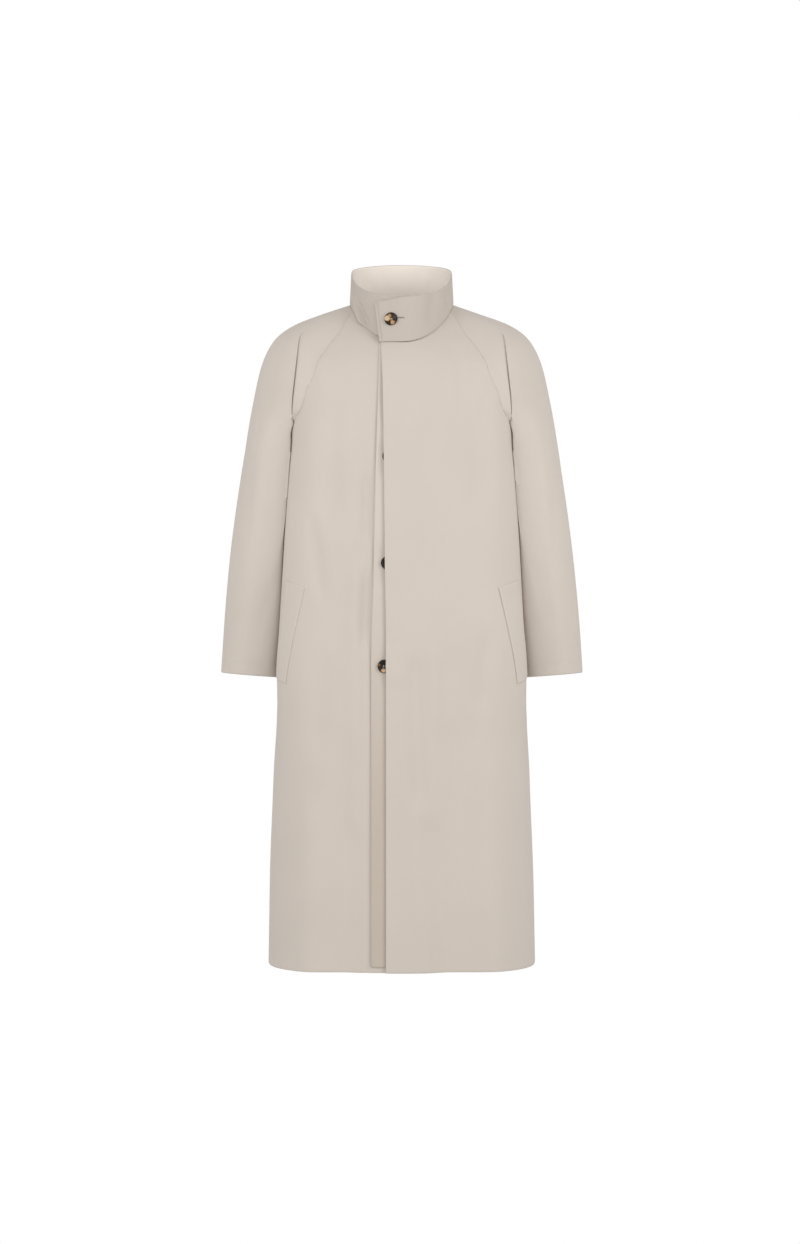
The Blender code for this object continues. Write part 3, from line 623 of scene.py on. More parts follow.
def front_lift(x, height):
    """How far the left front stands out over what lies under its edge."""
    lift = LAP_LIFT_NECK + (LAP_LIFT - LAP_LIFT_NECK) * ease((LAP_NECK_FOOT - height) / LAP_NECK_FADE)
    return lift * ease((LAP_END - x) / (LAP_END - LAP_FLAT))


def front_settle(x, height):
    """How far the left front's edge lies back towards the strip between the buttons."""
    away = np.min([np.abs(height - button.height) for button in FRONT_BUTTONS], axis=0)
    low = ease((LAP_NECK_FOOT - LAP_NECK_FADE - height) / LAP_NECK_FADE)
    near_edge = ease((SETTLE_END - x) / (SETTLE_END - LAP_FLAT))
    return SETTLE * low * near_edge * ease((away - SETTLE_CLEAR) / SETTLE_FADE)


def half_panel(side, middle_top, start_angle, neck_start, shares, downs, across):
    """Half of a front or back. Its first columns run from the middle to the raglan seam and on down at a
    fixed angle; each later column starts on the lower part of that seam. Rows that a column lacks are left
    empty."""
    split = int(np.argmin(np.abs(shares - SPLIT)))
    angles = np.radians(along(YOKE, side + "_angle", shares))
    heights = along(YOKE, side + "_height", shares)
    columns = len(across) - 1
    wide = columns + len(shares) - split
    grid = np.full((split + len(downs), wide, 3), np.nan)
    neck = neck_point(neck_start + (NECK_SEAM[side] - neck_start) * across)
    turn = angle_at(neck[:, 2], neck[:, 0])
    turn = turn if side == "front" else math.pi - turn
    climb = (neck[:, 2] - neck[0, 2]) / (neck[-1, 2] - neck[0, 2])
    spread = (turn - turn[0]) / (turn[-1] - turn[0])
    for i in range(split + 1):
        middle = middle_top + (UNDERARM - middle_top) * shares[i]
        start = start_angle(middle)
        row = body_point(middle + (heights[i] - middle) * climb, start + (angles[i] - start) * spread)
        if i == 0:
            shift = neck - row
        grid[i, : columns + 1] = row + shift * neck_weight(shares[i])
    tops = np.concatenate([grid[split, :columns, 2], heights[split:]])
    for k, down in enumerate(downs[1:], 1):
        level = LEVEL + (HEM - LEVEL) * max(down - LEVEL_AT, 0.0) / (1 - LEVEL_AT)
        height = level + (tops - level) * max(1 - down / LEVEL_AT, 0.0)
        start = start_angle(float(height[0]))
        near = start + (angles[split] - start) * spread[:-1]
        grid[split + k] = body_point(height, np.concatenate([near, angles[split:]]))
    for j in range(columns + 1, wide):
        grid[split, j] = seam_point(shares[split + j - columns], side)
    return grid


def front_grid(edge, shares, downs, across):
    """A wearer's-left front from its middle edge, placed by the edge function, to raglan and side seams."""

    def start_angle(height):
        return float(angle_at(height, edge(height)))

    neck_start = math.asin(float(edge(NECK_DROP)) / NECK_HALF)
    return half_panel("front", NECK_DROP, start_angle, neck_start, shares, downs, across)


def back_grid(shares, downs, across):
    """The back from the wearer's left seams to the right ones."""
    half = half_panel("back", NECK_RISE, lambda height: math.pi, math.pi, shares, downs, across)
    return np.concatenate([half[:, ::-1], half[:, 1:] * TO_RIGHT], axis=1)


def fold_width(share):
    """Width of the sleeve's fold at a share of the way down to the underarm."""
    narrow = ease((share - FOLD_NARROW_FROM) / (FOLD_NARROW_TO - FOLD_NARROW_FROM))
    return CREASE_WIDTH * (1 - (1 - FOLD_NARROWEST) * narrow)


def lobe_half(seam, ridge, lobe, crease, width, centre, towards, share, close):
    """Half of a sleeve row from a raglan seam point to the ridge; towards is -1 in front, 1 behind. Share is
    how far along the half each column is, and close how far its inner side is drawn to the body."""
    depth = max(towards * (seam[1] - ridge[1]), 0.0)
    square = LOBE_POWER + (SLEEVE[0].inner_square - LOBE_POWER) * ease(1 - depth / lobe)
    start = 0.0
    middle = seam[0]
    inner = 0.0
    if depth < lobe:
        start = math.acos((depth / lobe) ** (square / 2))
        middle = seam[0] + (centre - seam[0]) * (1 - math.cos(start))
        inner = (middle - seam[0]) / max(math.sin(start) ** (2 / square), TINY)
    step = max(depth - lobe, 0.0)
    crease = max(crease, seam[0] + CREASE_CLEAR)
    knots = [-start]
    for place in (crease, crease + width):
        wide = ridge[0] - middle if place > middle else max(inner, TINY)
        ratio = min(max((place - middle) / wide, -1.0), CREASE_LIMIT)
        knots.append(math.asin(float(power(ratio, (LOBE_POWER if ratio > 0 else square) / 2))))
    knots.append(math.pi / 2)
    even = -start + share * (math.pi / 2 + start)
    held = np.interp(share, CREASE_SHARES, knots)
    beyond = (ridge[0] - crease) / CREASE_WIDTH - CREASE_HOLD_FROM
    turn = even + (held - even) * ease(beyond / CREASE_HOLD_OVER)
    bend = 2 / np.where(turn < 0, square, LOBE_POWER)
    x = middle + np.where(turn < 0, inner, ridge[0] - middle) * power(np.sin(turn), bend)
    reach = max(depth, lobe) - step * ease((x - crease) / width)
    y = ridge[1] + towards * reach * power(np.cos(turn), bend)
    climb = np.sin((turn + start) / (math.pi / 2 + start) * math.pi / 2)
    z = seam[2] + (ridge[2] - seam[2]) * climb
    hold = ease(towards * (y - seam[1]) / ARM_TURN)
    x = x + (clear_of_body(x, y, z) - x) * hold
    snug = close * hold * ease(-turn / SNUG_TURN) * ease((lobe - depth) / SNUG_DEEP)
    return np.stack([x + (beside_body(y, z) - x) * snug, y, z], -1)


def sleeve_row(share, places, close=1.0):
    """One row of the raglan part, from the front seam over the ridge to the back seam; close is how far its
    inner side is drawn to the body."""
    row = {name: float(along(YOKE, name, share)) for name in Yoke._fields}
    ridge = np.array([row["ridge_across"], row["ridge_depth"], row["ridge_height"]])
    crease = max(row["crease"] + FOLD_SHIFT, FOLD_LEAST)
    centre = SLEEVE[0].centre
    halves = []
    for side, towards in (("front", -1), ("back", 1)):
        seam = seam_point(share, side)
        lobe = row["lobe_" + side]
        half = lobe_half(seam, ridge, lobe, crease, fold_width(share), centre, towards, places, close)
        halves.append(half)
    return np.concatenate([halves[0][:-1], halves[1][::-1]])


def sleeve_grid(shares, heights, places):
    """Rows of a wearer's-left sleeve: open arcs down to the underarm, rings from there to the cuff."""
    rows = [sleeve_row(share, places) for share in shares]
    front, back = [start + (math.pi / 2 - start) * places for start in NECK_SEAM.values()]
    shift = neck_point(np.concatenate([front[:-1], back[::-1]])) - rows[0]
    rows = [row + shift * neck_weight(share) for row, share in zip(rows, shares)]
    last = sleeve_row(shares[-1], places, 0.0)
    first = SLEEVE[0]
    turn_x = (last[:, 0] - first.centre) / first.half_width
    turn_y = (last[:, 1] - first.depth) / np.where(last[:, 1] < first.depth, first.front, first.back)
    out = np.where(turn_x < 0, first.inner_square, LOBE_POWER) / 2
    angle = np.arctan2(power(turn_x, out), -power(turn_y, out))
    for height in heights:
        part = {name: float(smooth(SLEEVE, "height", name, height)) for name in Sleeve._fields}
        bend = 2 / np.where(angle < 0, part["inner_square"], LOBE_POWER)
        x = part["half_width"] * power(np.sin(angle), bend)
        deep = np.where(np.cos(angle) > 0, part["front"], part["back"])
        y = part["depth"] - deep * power(np.cos(angle), bend)
        clear = clear_of_body(part["centre"] + x, y, height)
        snug = ease(-angle / SNUG_TURN) * ease((math.pi + angle) / SNUG_TURN)
        snug = snug * ease((height - SNUG_FOOT) / SNUG_FADE)
        clear = clear + (beside_body(y, height) - clear) * snug
        rows.append(np.stack([clear, y, height + x * math.tan(CUFF_TILT)], -1))
    return np.array(rows)


def collar_grid(ups, places, inset, gap):
    """Rows of the collar from rim to neckline, from the end of the tab round the neck to the under end."""
    grid = []
    for up in ups:
        start = TAB_BASE + (TAB_RIM - TAB_BASE) * up
        degrees = start + (UNDER_END - start) * places
        angle = np.radians(degrees)
        lap = ease((COLLAR_LIFT_FROM - degrees) / COLLAR_LIFT_SPAN)
        tab = ease((TAB_STEP_FROM - degrees) / TAB_STEP_SPAN)
        high = up * (1 - TAB_STEP * tab)
        low = neck_point(angle)
        low[:, 2] += gap
        point = low + (rim_point(angle) - low) * high[:, None]
        outward = np.stack([np.sin(angle), -np.cos(angle), np.zeros(len(places))], -1)
        grid.append(point + outward * (COLLAR_LIFT * lap - inset + COLLAR_OUT)[:, None])
    return np.array(grid)


def mirrored(grid):
    """The same piece on the wearer's right, its columns turned round so that it still faces out."""
    return grid[:, ::-1] * TO_RIGHT


def left_edge(height):
    return smooth(EDGE, "height", "left", height)


def under_edge(height):
    return -UNDER_LAP


def front_place(button, run, rise):
    """Place on the front near a button, by steps along and up."""
    height = button.height + rise
    return body_point(height, angle_at(height, button.across + run))


def collar_place(button, run, rise):
    """Place on the outer face of the collar near a button, by steps along and up."""
    angle = math.asin((button.across + run) / RIM_HALF)
    low = neck_point(angle)
    high = rim_point(angle)
    up = (button.height + rise - low[2]) / (high[2] - low[2])
    out = np.array([math.sin(angle), -math.cos(angle), 0.0])
    return low + (high - low) * up + out * (COLLAR_LIFT + COLLAR_OUT)


def graded(count, length, start=True, end=True):
    """Shares from 0 to 1 in even steps, finer by the chosen ends of a piece about this long."""
    fine = EDGE_STEPS / length
    first = fine if start else fine[:0]
    last = 1 - fine if end else fine[:0]
    even = np.linspace(first[-1] if start else 0.0, last[-1] if end else 1.0, count + 1)
    return np.unique(np.concatenate([[0.0, 1.0], first, last, even]))


def strip_grid(under_front, shares, over):
    """The fly strip, on the points of the wearer's-left twin of the under front, mirrored and moved out. The
    shares are those of that front's first rows."""
    rows = []
    for row in mirrored(under_front)[int(np.searchsorted(shares, STRIP_TOP)) :]:
        x, y, z = row[~np.isnan(row[:, 0])].T
        near = smooth(EDGE, "height", "strip", z[-1])
        place = near + (STRIP_REACH - near) * over
        rows.append(np.stack([place, np.interp(place, x, y), np.interp(place, x, z)], -1))
    made = np.array(rows)
    steep = ease((made[..., 2] - STRIP_STEEP_FOOT) / STRIP_STEEP_FADE)
    made[..., 1] -= (LAY_GAP + STRIP_PLY) * (1 + STRIP_STEEP_MORE * steep)
    edge_lift = STRIP_EDGE_LIFT * (1 - steep)
    made[..., 1] -= edge_lift * ease(1 - (made[..., 0] - made[:, :1, 0]) / STRIP_EDGE_FADE)
    inside = np.clip(CORNER_ROUND - (made[-1, :, 0] - made[-1, 0, 0]), 0.0, CORNER_ROUND)
    foot = STRIP_FOOT + CORNER_ROUND - np.sqrt(CORNER_ROUND**2 - inside**2)
    start = foot + CORNER_RISE
    share = (foot - start) / (made[-1, :, 2] - start)
    below = made[..., 2] < start
    made[..., 2] = np.where(below, start + (made[..., 2] - start) * share, made[..., 2])
    return made


def welt_grid(downs, overs):
    """The wearer's-left welt, on the form of the front moved out."""
    down, over = np.meshgrid(downs, overs, indexing="ij")

    def mixed(name):
        top = getattr(WELT_TOP[0], name) * (1 - over) + getattr(WELT_TOP[1], name) * over
        foot = getattr(WELT_FOOT[0], name) * (1 - over) + getattr(WELT_FOOT[1], name) * over
        return top * (1 - down) + foot * down

    height = mixed("height")
    angle = np.radians(mixed("angle"))
    across = body_point(height, angle + WELT_TURN) - body_point(height, angle - WELT_TURN)
    outward = np.stack([across[..., 1], -across[..., 0], np.zeros_like(height)], -1)
    outward /= np.linalg.norm(outward, axis=-1, keepdims=True)
    return body_point(height, angle) + outward * (WELT_GAP + WELT_PLY)


def resampled(line):
    """The points of a line at even short steps."""
    arc = np.concatenate([[0.0], np.cumsum(np.linalg.norm(np.diff(line, axis=0), axis=1))])
    steps = np.linspace(0.0, arc[-1], max(int(arc[-1] / LINE_STEP), 2))
    return np.stack([np.interp(steps, arc, line[:, k]) for k in range(3)], -1)


def nearest(points, line):
    """Distance of each point from a line, and how far along the line that is."""
    line = resampled(line)
    tree = kdtree.KDTree(len(line))
    for k, place in enumerate(line):
        tree.insert(place, k)
    tree.balance()
    found = [tree.find(point) for point in points]
    return np.array([hit[2] for hit in found]), np.array([hit[1] for hit in found]) * LINE_STEP


def on_points(grid, measure):
    """A measure of the points of a grid, zero where the grid has none."""
    made = np.zeros(grid.shape[:2])
    there = ~np.isnan(grid[..., 0])
    made[there] = measure(grid[there])
    return made


def near_seams(grid, lines):
    """How the cloth sinks and puckers by its seams, and how far each point is from them."""
    relief = np.zeros(grid.shape[:2])
    away = np.full(grid.shape[:2], np.inf)
    there = ~np.isnan(grid[..., 0])
    for line in lines:
        distance, arc = nearest(grid[there], line)
        spots = [Vector((place * PUCKER_NOISE, distance[0], 0.0)) for place in arc]
        uneven = np.array([noise.noise(spot) for spot in spots])
        wave = np.sin(arc * 2 * math.pi / PUCKER_LENGTH + uneven * PUCKER_SHIFT) * (PUCKER_LEAST + uneven)
        relief[there] -= SEAM_ROLL * np.exp(-((distance / SEAM_WIDTH) ** 2))
        relief[there] += PUCKER * wave * np.exp(-((distance / PUCKER_REACH) ** 2))
        away[there] = np.minimum(away[there], distance)
    return relief, away


def ripple(grid, name):
    """Slight unevenness of hanging cloth, which has a place of its own in the noise for each piece."""

    def height_of(points):
        spots = (points * RIPPLE_STRETCH + RIPPLE_STARTS[name]) * RIPPLE_SCALE
        return RIPPLE * np.array([noise.noise(Vector(spot)) for spot in spots])

    return on_points(grid, height_of)


def press_of(fold, across, height, fade, scale=1.0):
    """How deep a fold is at places across and heights."""
    drop = (fold.top - height) / (fold.top - fold.foot)
    middle = fold.top_across + (fold.foot_across - fold.top_across) * drop
    ends = ease((fold.top - height) / fade) * ease((height - fold.foot) / fade)
    return fold.depth * ends * np.exp(-(((across - middle) * scale / fold.width) ** 2))


def with_folds(grid, side, calm):
    """A grid of points with the folds of one side of the body pressed in, less so where calm is small."""
    made = grid.copy()
    towards = 1 if side == "front" else -1
    for table, fade in ((FOLDS, FOLD_FADE), (CREASES, CREASE_FADE)):
        for fold in table:
            if fold.side == side:
                made[..., 1] += towards * calm * press_of(fold, grid[..., 0], grid[..., 2], fade)
    return made


def evened(grid, calm):
    """A grid of points smoothed along its columns, as far as calm allows, its first and last rows kept."""
    made = grid.copy()
    for _ in range(EVEN_PASSES):
        made[1:-1] = (made[:-2] + 2 * made[1:-1] + made[2:]) / 4
    return grid + (made - grid) * calm[..., None]


def arm_fold(grid, places, shares):
    """The sleeve's fold in front and behind, in its first rows: cloth tucked in under a lip."""
    made = grid.copy()
    start, end = CREASE_SHARES[1:3]
    share = (np.concatenate([places[:-1], places[::-1]]) - start) / (end - start)
    inwards = np.where(np.arange(len(share)) < len(places), 1.0, -1.0)
    rows = len(shares)
    height = grid[:rows, :, 2]
    below = FOLD_TOP - height
    size = FOLD_START + (1 - FOLD_START) * ease(below / FOLD_DEEPEN)
    size = size * ease(below / FOLD_OPEN) * ease((height - FOLD_FOOT) / FOLD_CLOSE)
    size = size * fold_width(shares)[:, None] / CREASE_WIDTH
    made[:rows, :, 0] += size * smooth(TUCK, "share", "side", share)
    made[:rows, :, 1] += size * inwards * smooth(TUCK, "share", "deep", share)
    return made


def arm_angle(grid):
    """Degrees round the arm from its front towards its outside."""
    height = np.clip(grid[..., 2], SLEEVE[-1].height, SLEEVE[0].height)
    part = {name: smooth(SLEEVE, "height", name, height) for name in Sleeve._fields}
    across = (np.abs(grid[..., 0]) - part["centre"]) / part["half_width"]
    deep = (part["depth"] - grid[..., 1]) / part["front"]
    return np.degrees(np.arctan2(across, deep))


def sleeve_folds(grid, side):
    """Depth of a sleeve's soft folds, to be pressed in."""
    angle = arm_angle(grid)
    relief = np.zeros(grid.shape[:2])
    arm = math.radians(1.0) * SLEEVE[2].front
    for fold in SLEEVE_CREASES:
        if fold.side == side:
            turn = (angle - fold.top_across + 180.0) % 360.0 - 180.0 + fold.top_across
            relief -= press_of(fold, turn, grid[..., 2], CREASE_FADE, arm)
    return relief


def collar_folds(grid, degrees):
    relief = np.zeros(grid.shape[:2])
    arc = math.radians(1.0) * NECK_HALF
    for fold in COLLAR_CREASES:
        relief -= press_of(fold, degrees, grid[..., 2], COLLAR_FADE, arc)
    return relief


def cut_lengths(grid, middle):
    """Lengths along each row from its middle column and up each column from its foot, as in flat cloth."""
    across = np.nan_to_num(np.linalg.norm(np.diff(grid, axis=1), axis=2))
    across = np.concatenate([np.zeros((len(grid), 1)), np.cumsum(across, axis=1)], axis=1)
    up = np.nan_to_num(np.linalg.norm(np.diff(grid, axis=0), axis=2))
    up = np.concatenate([np.cumsum(up[::-1], axis=0)[::-1], np.zeros((1, grid.shape[1]))])
    return np.stack([across - across[:, [middle]], up], -1)


def free_edge(distance):
    """How cloth rounds off at a free edge."""
    return -FREE_ROLL * np.exp(-((distance / FREE_WIDTH) ** 2))


def panel_relief(name, grid, seams, edges):
    """Relief of a front or back with the free edges given, and how far its folds may go at each point, from
    none on the seams to all of their depth."""
    sewn, away = near_seams(grid, seams)
    calm = ease(away / SEAM_CALM)
    relief = sewn + ripple(grid, name) * calm
    for edge in edges:
        relief = relief + free_edge(cut_lengths(grid, 0)[..., edge])
    return relief, calm


def add_piece(name, mesh, paint):
    made = bpy.data.objects.new(name, mesh)
    made.data.materials.append(paint)
    bpy.context.scene.collection.objects.link(made)
    made.data.shade_smooth()
    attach(made, COAT)
    return made


def quads_of(index):
    return np.stack([index[:-1, :-1], index[1:, :-1], index[1:, 1:], index[:-1, 1:]], -1).reshape(-1, 4)


def cloth(node, grid, relief, thickness, paint, middle=0, ring_from=None):
    """A cloth piece in place of a node, from a grid of points with rows downwards. Its relief lies along its
    normals, it is thickened inwards, and its rows from ring_from on close into rings."""
    rows, columns = grid.shape[:2]
    kept = ~np.isnan(grid[..., 0])
    if ring_from is not None:
        kept[ring_from:, -1] = False
    index = np.full((rows, columns), -1)
    index[kept] = np.arange(kept.sum())
    if ring_from is not None:
        index[ring_from:, -1] = index[ring_from:, 0]
    faces = quads_of(index)
    whole = (faces >= 0).all(axis=1)
    corners = quads_of(np.arange(rows * columns).reshape(rows, columns))[whole]
    mesh = bpy.data.meshes.new(node + "_cloth")
    mesh.from_pydata(grid[kept].tolist(), [], faces[whole].tolist())
    normals = np.zeros(kept.sum() * 3)
    mesh.vertex_normals.foreach_get("vector", normals)
    shaped = grid[kept] + normals.reshape(-1, 3) * relief[kept][:, None]
    mesh.vertices.foreach_set("co", shaped.ravel())
    lengths = cut_lengths(grid, middle)
    mesh.uv_layers.new(name="cut").data.foreach_set("uv", lengths.reshape(-1, 2)[corners].ravel())
    mesh.update()
    made = add_piece(node + "_cloth", mesh, paint)
    wall = made.modifiers.new("wall", "SOLIDIFY")
    wall.thickness = thickness
    wall.offset = -1.0
    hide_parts(node)
    return made


def tube_faces(stations, sides):
    """Faces of one tube of rings, closed by a flat face at each end."""
    ring = np.arange(stations * sides).reshape(stations, sides)
    turned = np.roll(ring, -1, axis=1)
    faces = np.stack([ring[:-1], turned[:-1], turned[1:], ring[1:]], -1).reshape(-1, 4).tolist()
    faces.append(ring[0][::-1].tolist())
    faces.append(ring[-1].tolist())
    return faces


def threads(name, runs, radius, paint):
    """Round threads along runs of points, each with its own outward directions, joined in one mesh."""
    points = []
    faces = []
    for run, outward in runs:
        along_run = np.gradient(run, axis=0)
        along_run /= np.linalg.norm(along_run, axis=1, keepdims=True)
        side = np.cross(along_run, outward)
        side /= np.linalg.norm(side, axis=1, keepdims=True)
        up = np.cross(side, along_run)
        taper = radius * np.sin(np.linspace(*THREAD_ENDS, len(run)) * math.pi) ** THREAD_TAPER
        turn = np.linspace(0.0, 2 * math.pi, THREAD_SIDES, endpoint=False)
        round_it = side[:, None] * np.cos(turn)[None, :, None] + up[:, None] * np.sin(turn)[None, :, None]
        base = len(points)
        points.extend((run[:, None] + round_it * taper[:, None, None]).reshape(-1, 3).tolist())
        faces.extend([[base + k for k in face] for face in tube_faces(len(run), THREAD_SIDES)])
    mesh = bpy.data.meshes.new(name)
    mesh.from_pydata(points, [], faces)
    return add_piece(name, mesh, paint)


def outer_face(piece):
    """The outer face of a cloth piece, to set things on."""
    return BVHTree.FromPolygons(
        [vertex.co for vertex in piece.data.vertices], [list(face.vertices) for face in piece.data.polygons]
    )


def set_on(face, points):
    """Points moved to the nearest place on a face, and the directions out of it there."""
    hits = [face.find_nearest(Vector(point)) for point in points]
    return np.array([hit[0] for hit in hits]), np.array([hit[1] for hit in hits])


def stitch_runs(piece, line):
    """Runs of a row of stitches along a line on a cloth piece."""
    face = outer_face(piece)
    line = resampled(line)
    arc = np.arange(len(line)) * LINE_STEP
    share = np.linspace(0.0, 1.0, STITCH_STATIONS)
    runs = []
    for start in np.arange(0.0, arc[-1] - STITCH, STITCH_PITCH):
        spots = start + share * STITCH
        line_points = np.stack([np.interp(spots, arc, line[:, k]) for k in range(3)], -1)
        places, outward = set_on(face, line_points)
        rise = THREAD_RADIUS * (np.sin(share * math.pi) - STITCH_SINK)
        runs.append((places + outward * rise[:, None], outward))
    return runs


def set_up(tree, node, settings):
    """Settings of a shader node, by the names of its own values or of its inputs, with a low line for a
    space. An input that is given an output is linked to it."""
    for name, value in settings.items():
        socket = name.replace("_", " ")
        if hasattr(node, name):
            setattr(node, name, value)
        elif isinstance(value, bpy.types.NodeSocket):
            tree.links.new(value, node.inputs[socket])
        else:
            node.inputs[socket].default_value = value


def add_node(tree, kind, **settings):
    made = tree.nodes.new("ShaderNode" + kind)
    set_up(tree, made, settings)
    return made


def new_material(name, **settings):
    made = bpy.data.materials.new(name)
    made.use_nodes = True
    tree = made.node_tree
    shader = tree.nodes["Principled BSDF"]
    set_up(tree, shader, settings)
    return made, tree, shader


def combined(tree, operation, first, second):
    """Output of a math node on two outputs."""
    made = add_node(tree, "Math", operation=operation)
    tree.links.new(first, made.inputs[0])
    tree.links.new(second, made.inputs[1])
    return made.outputs[0]


def opaque(colour):
    return (*colour, 1.0)


def mixed_colour(tree, factor, first, second):
    """Output of a mix of two colours."""
    return add_node(tree, "Mix", data_type="RGBA", Factor=factor, A=first, B=second).outputs["Result"]


def noise_texture(tree, where, scale, detail):
    return add_node(tree, "TexNoise", Scale=scale, Detail=detail, Vector=where)


def smooth_step(tree, value, limits, low=0.0, high=1.0):
    """Output that runs softly from low to high while a value goes from one limit to the other."""
    made = add_node(
        tree,
        "MapRange",
        interpolation_type="SMOOTHSTEP",
        From_Min=limits[0],
        From_Max=limits[1],
        To_Min=low,
        To_Max=high,
        Value=value,
    )
    return made.outputs["Result"]


def cloth_paint(name, colour, shade, foot=None):
    """Cotton gabardine: steep fine twill lines, uneven yarns and a soft cloudy tone, with a painted shade
    that darkens it towards the foot where a foot colour is given."""
    made, tree, shader = new_material(name, **CLOTH_SURFACE)
    flat = add_node(tree, "UVMap", uv_map="cut").outputs["UV"]
    lean = add_node(tree, "Mapping", Scale=TWILL_LEAN, Vector=flat).outputs["Vector"]
    twill = add_node(tree, "TexWave", bands_direction="DIAGONAL", Vector=lean, **TWILL).outputs["Fac"]
    yarn = noise_texture(tree, flat, YARN_SCALE, YARN_DETAIL).outputs["Fac"]
    place = add_node(tree, "TexCoord").outputs["Object"]
    cloud = noise_texture(tree, place, CLOUD_SCALE, CLOUD_DETAIL).outputs["Fac"]
    tones = []
    for source, reach in ((twill, TWILL_TONE), (yarn, YARN_TONE), (cloud, CLOUD_TONE)):
        tone = add_node(tree, "MapRange", To_Min=1 - reach, To_Max=1 + reach, Value=source)
        tones.append(tone.outputs["Result"])
    total = combined(tree, "MULTIPLY", combined(tree, "MULTIPLY", tones[0], tones[1]), tones[2])
    dye_and_shade = mixed_colour(tree, cloud, opaque(shade), opaque(colour))
    # Painted shade: where a foot colour is given, the colour darkens to it towards the sheet's foot.
    if foot:
        parts = add_node(tree, "SeparateXYZ", Vector=flat)
        rise = smooth_step(tree, parts.outputs["Y"], FOOT_SHADE)
        dye_and_shade = mixed_colour(tree, rise, opaque(foot), dye_and_shade)
    toned = add_node(tree, "VectorMath", operation="SCALE", Vector=dye_and_shade, Scale=total)
    bump = add_node(tree, "Bump", Strength=TWILL_BUMP, Distance=TWILL_DEPTH, Height=twill)
    set_up(tree, shader, {"Base_Color": toned.outputs["Vector"], "Normal": bump.outputs["Normal"]})
    return made


def thread_paint(name, colour):
    made, tree, shader = new_material(name, **THREAD_SURFACE)
    place = add_node(tree, "TexCoord").outputs["Object"]
    fuzz = noise_texture(tree, place, THREAD_FUZZ, THREAD_FUZZ_DETAIL).outputs["Fac"]
    dim = [part * THREAD_DIM for part in colour]
    set_up(tree, shader, {"Base_Color": mixed_colour(tree, fuzz, opaque(dim), opaque(colour))})
    return made


def tortoise_paint(name, patches):
    """Tortoiseshell resin: dark brown with amber and cream patches, each at a place on the face."""
    made, tree, shader = new_material(name, **RESIN_SURFACE)
    place = add_node(tree, "TexCoord").outputs["Object"]
    swirl = noise_texture(tree, place, SWIRL_SCALE, SWIRL_DETAIL)
    pull = add_node(tree, "VectorMath", operation="MULTIPLY_ADD")
    tree.links.new(swirl.outputs["Color"], pull.inputs[0])
    pull.inputs[1].default_value = (PATCH_PULL, PATCH_PULL, 0.0)
    tree.links.new(place, pull.inputs[2])
    glow = None
    for patch in patches:
        reach = add_node(tree, "VectorMath", operation="DISTANCE")
        tree.links.new(pull.outputs["Vector"], reach.inputs[0])
        reach.inputs[1].default_value = (patch.x + PATCH_PULL / 2, patch.y + PATCH_PULL / 2, BUTTON_THICK)
        limits = (patch.size, patch.size * PATCH_CORE)
        soft = smooth_step(tree, reach.outputs["Value"], limits, high=patch.light)
        glow = soft if glow is None else combined(tree, "MAXIMUM", glow, soft)
    ramp = add_node(tree, "ValToRGB", Fac=glow)
    stops = ramp.color_ramp.elements
    stops[0].color = opaque(TORTOISE[0])
    stops[1].color = opaque(TORTOISE[-1])
    for k in range(1, len(TORTOISE) - 1):
        stops.new(k / (len(TORTOISE) - 1)).color = opaque(TORTOISE[k])
    set_up(tree, shader, {"Base_Color": ramp.outputs["Color"]})
    return made


def button_mesh():
    """A four-hole button turned from its profile, its back on the ground and its face up."""
    points = [(turn.radius * BUTTON_RADIUS, 0.0, turn.height * BUTTON_THICK) for turn in BUTTON_PROFILE]
    profile = bpy.data.meshes.new("button profile")
    profile.from_pydata(points, [(k, k + 1) for k in range(len(points) - 1)], [])
    blank = bpy.data.objects.new("button blank", profile)
    bpy.context.scene.collection.objects.link(blank)
    turned = blank.modifiers.new("turned", "SCREW")
    turned.steps = BUTTON_SIDES
    turned.render_steps = BUTTON_SIDES
    turned.use_merge_vertices = True
    turned.merge_threshold = MERGE
    drills = bmesh.new()
    for spot in hole_spots():
        bmesh.ops.create_cone(
            drills,
            cap_ends=True,
            segments=BUTTON_HOLE_SIDES,
            radius1=HOLE_RADIUS,
            radius2=HOLE_RADIUS,
            depth=DRILL_LONG,
            matrix=Matrix.Translation(spot),
        )
    drill_mesh = bpy.data.meshes.new("button drill")
    drills.to_mesh(drill_mesh)
    drills.free()
    drill = bpy.data.objects.new("button drill", drill_mesh)
    bpy.context.scene.collection.objects.link(drill)
    holes = blank.modifiers.new("holes", "BOOLEAN")
    holes.operation = "DIFFERENCE"
    holes.object = drill
    rim = blank.modifiers.new("rim", "BEVEL")
    rim.width = HOLE_BEVEL
    rim.segments = HOLE_BEVEL_STEPS
    rim.limit_method = "ANGLE"
    bpy.context.view_layer.update()
    made = bpy.data.meshes.new_from_object(blank.evaluated_get(bpy.context.evaluated_depsgraph_get()))
    bpy.data.objects.remove(blank, do_unlink=True)
    bpy.data.objects.remove(drill, do_unlink=True)
    return made


def hole_spots():
    """Middles of the four holes in the button's own frame."""
    spots = []
    for k in range(HOLES):
        turn = math.pi / HOLES + 2 * math.pi / HOLES * k
        spots.append(Vector((HOLE_OFFSET * math.cos(turn), HOLE_OFFSET * math.sin(turn), BUTTON_THICK / 2)))
    return spots


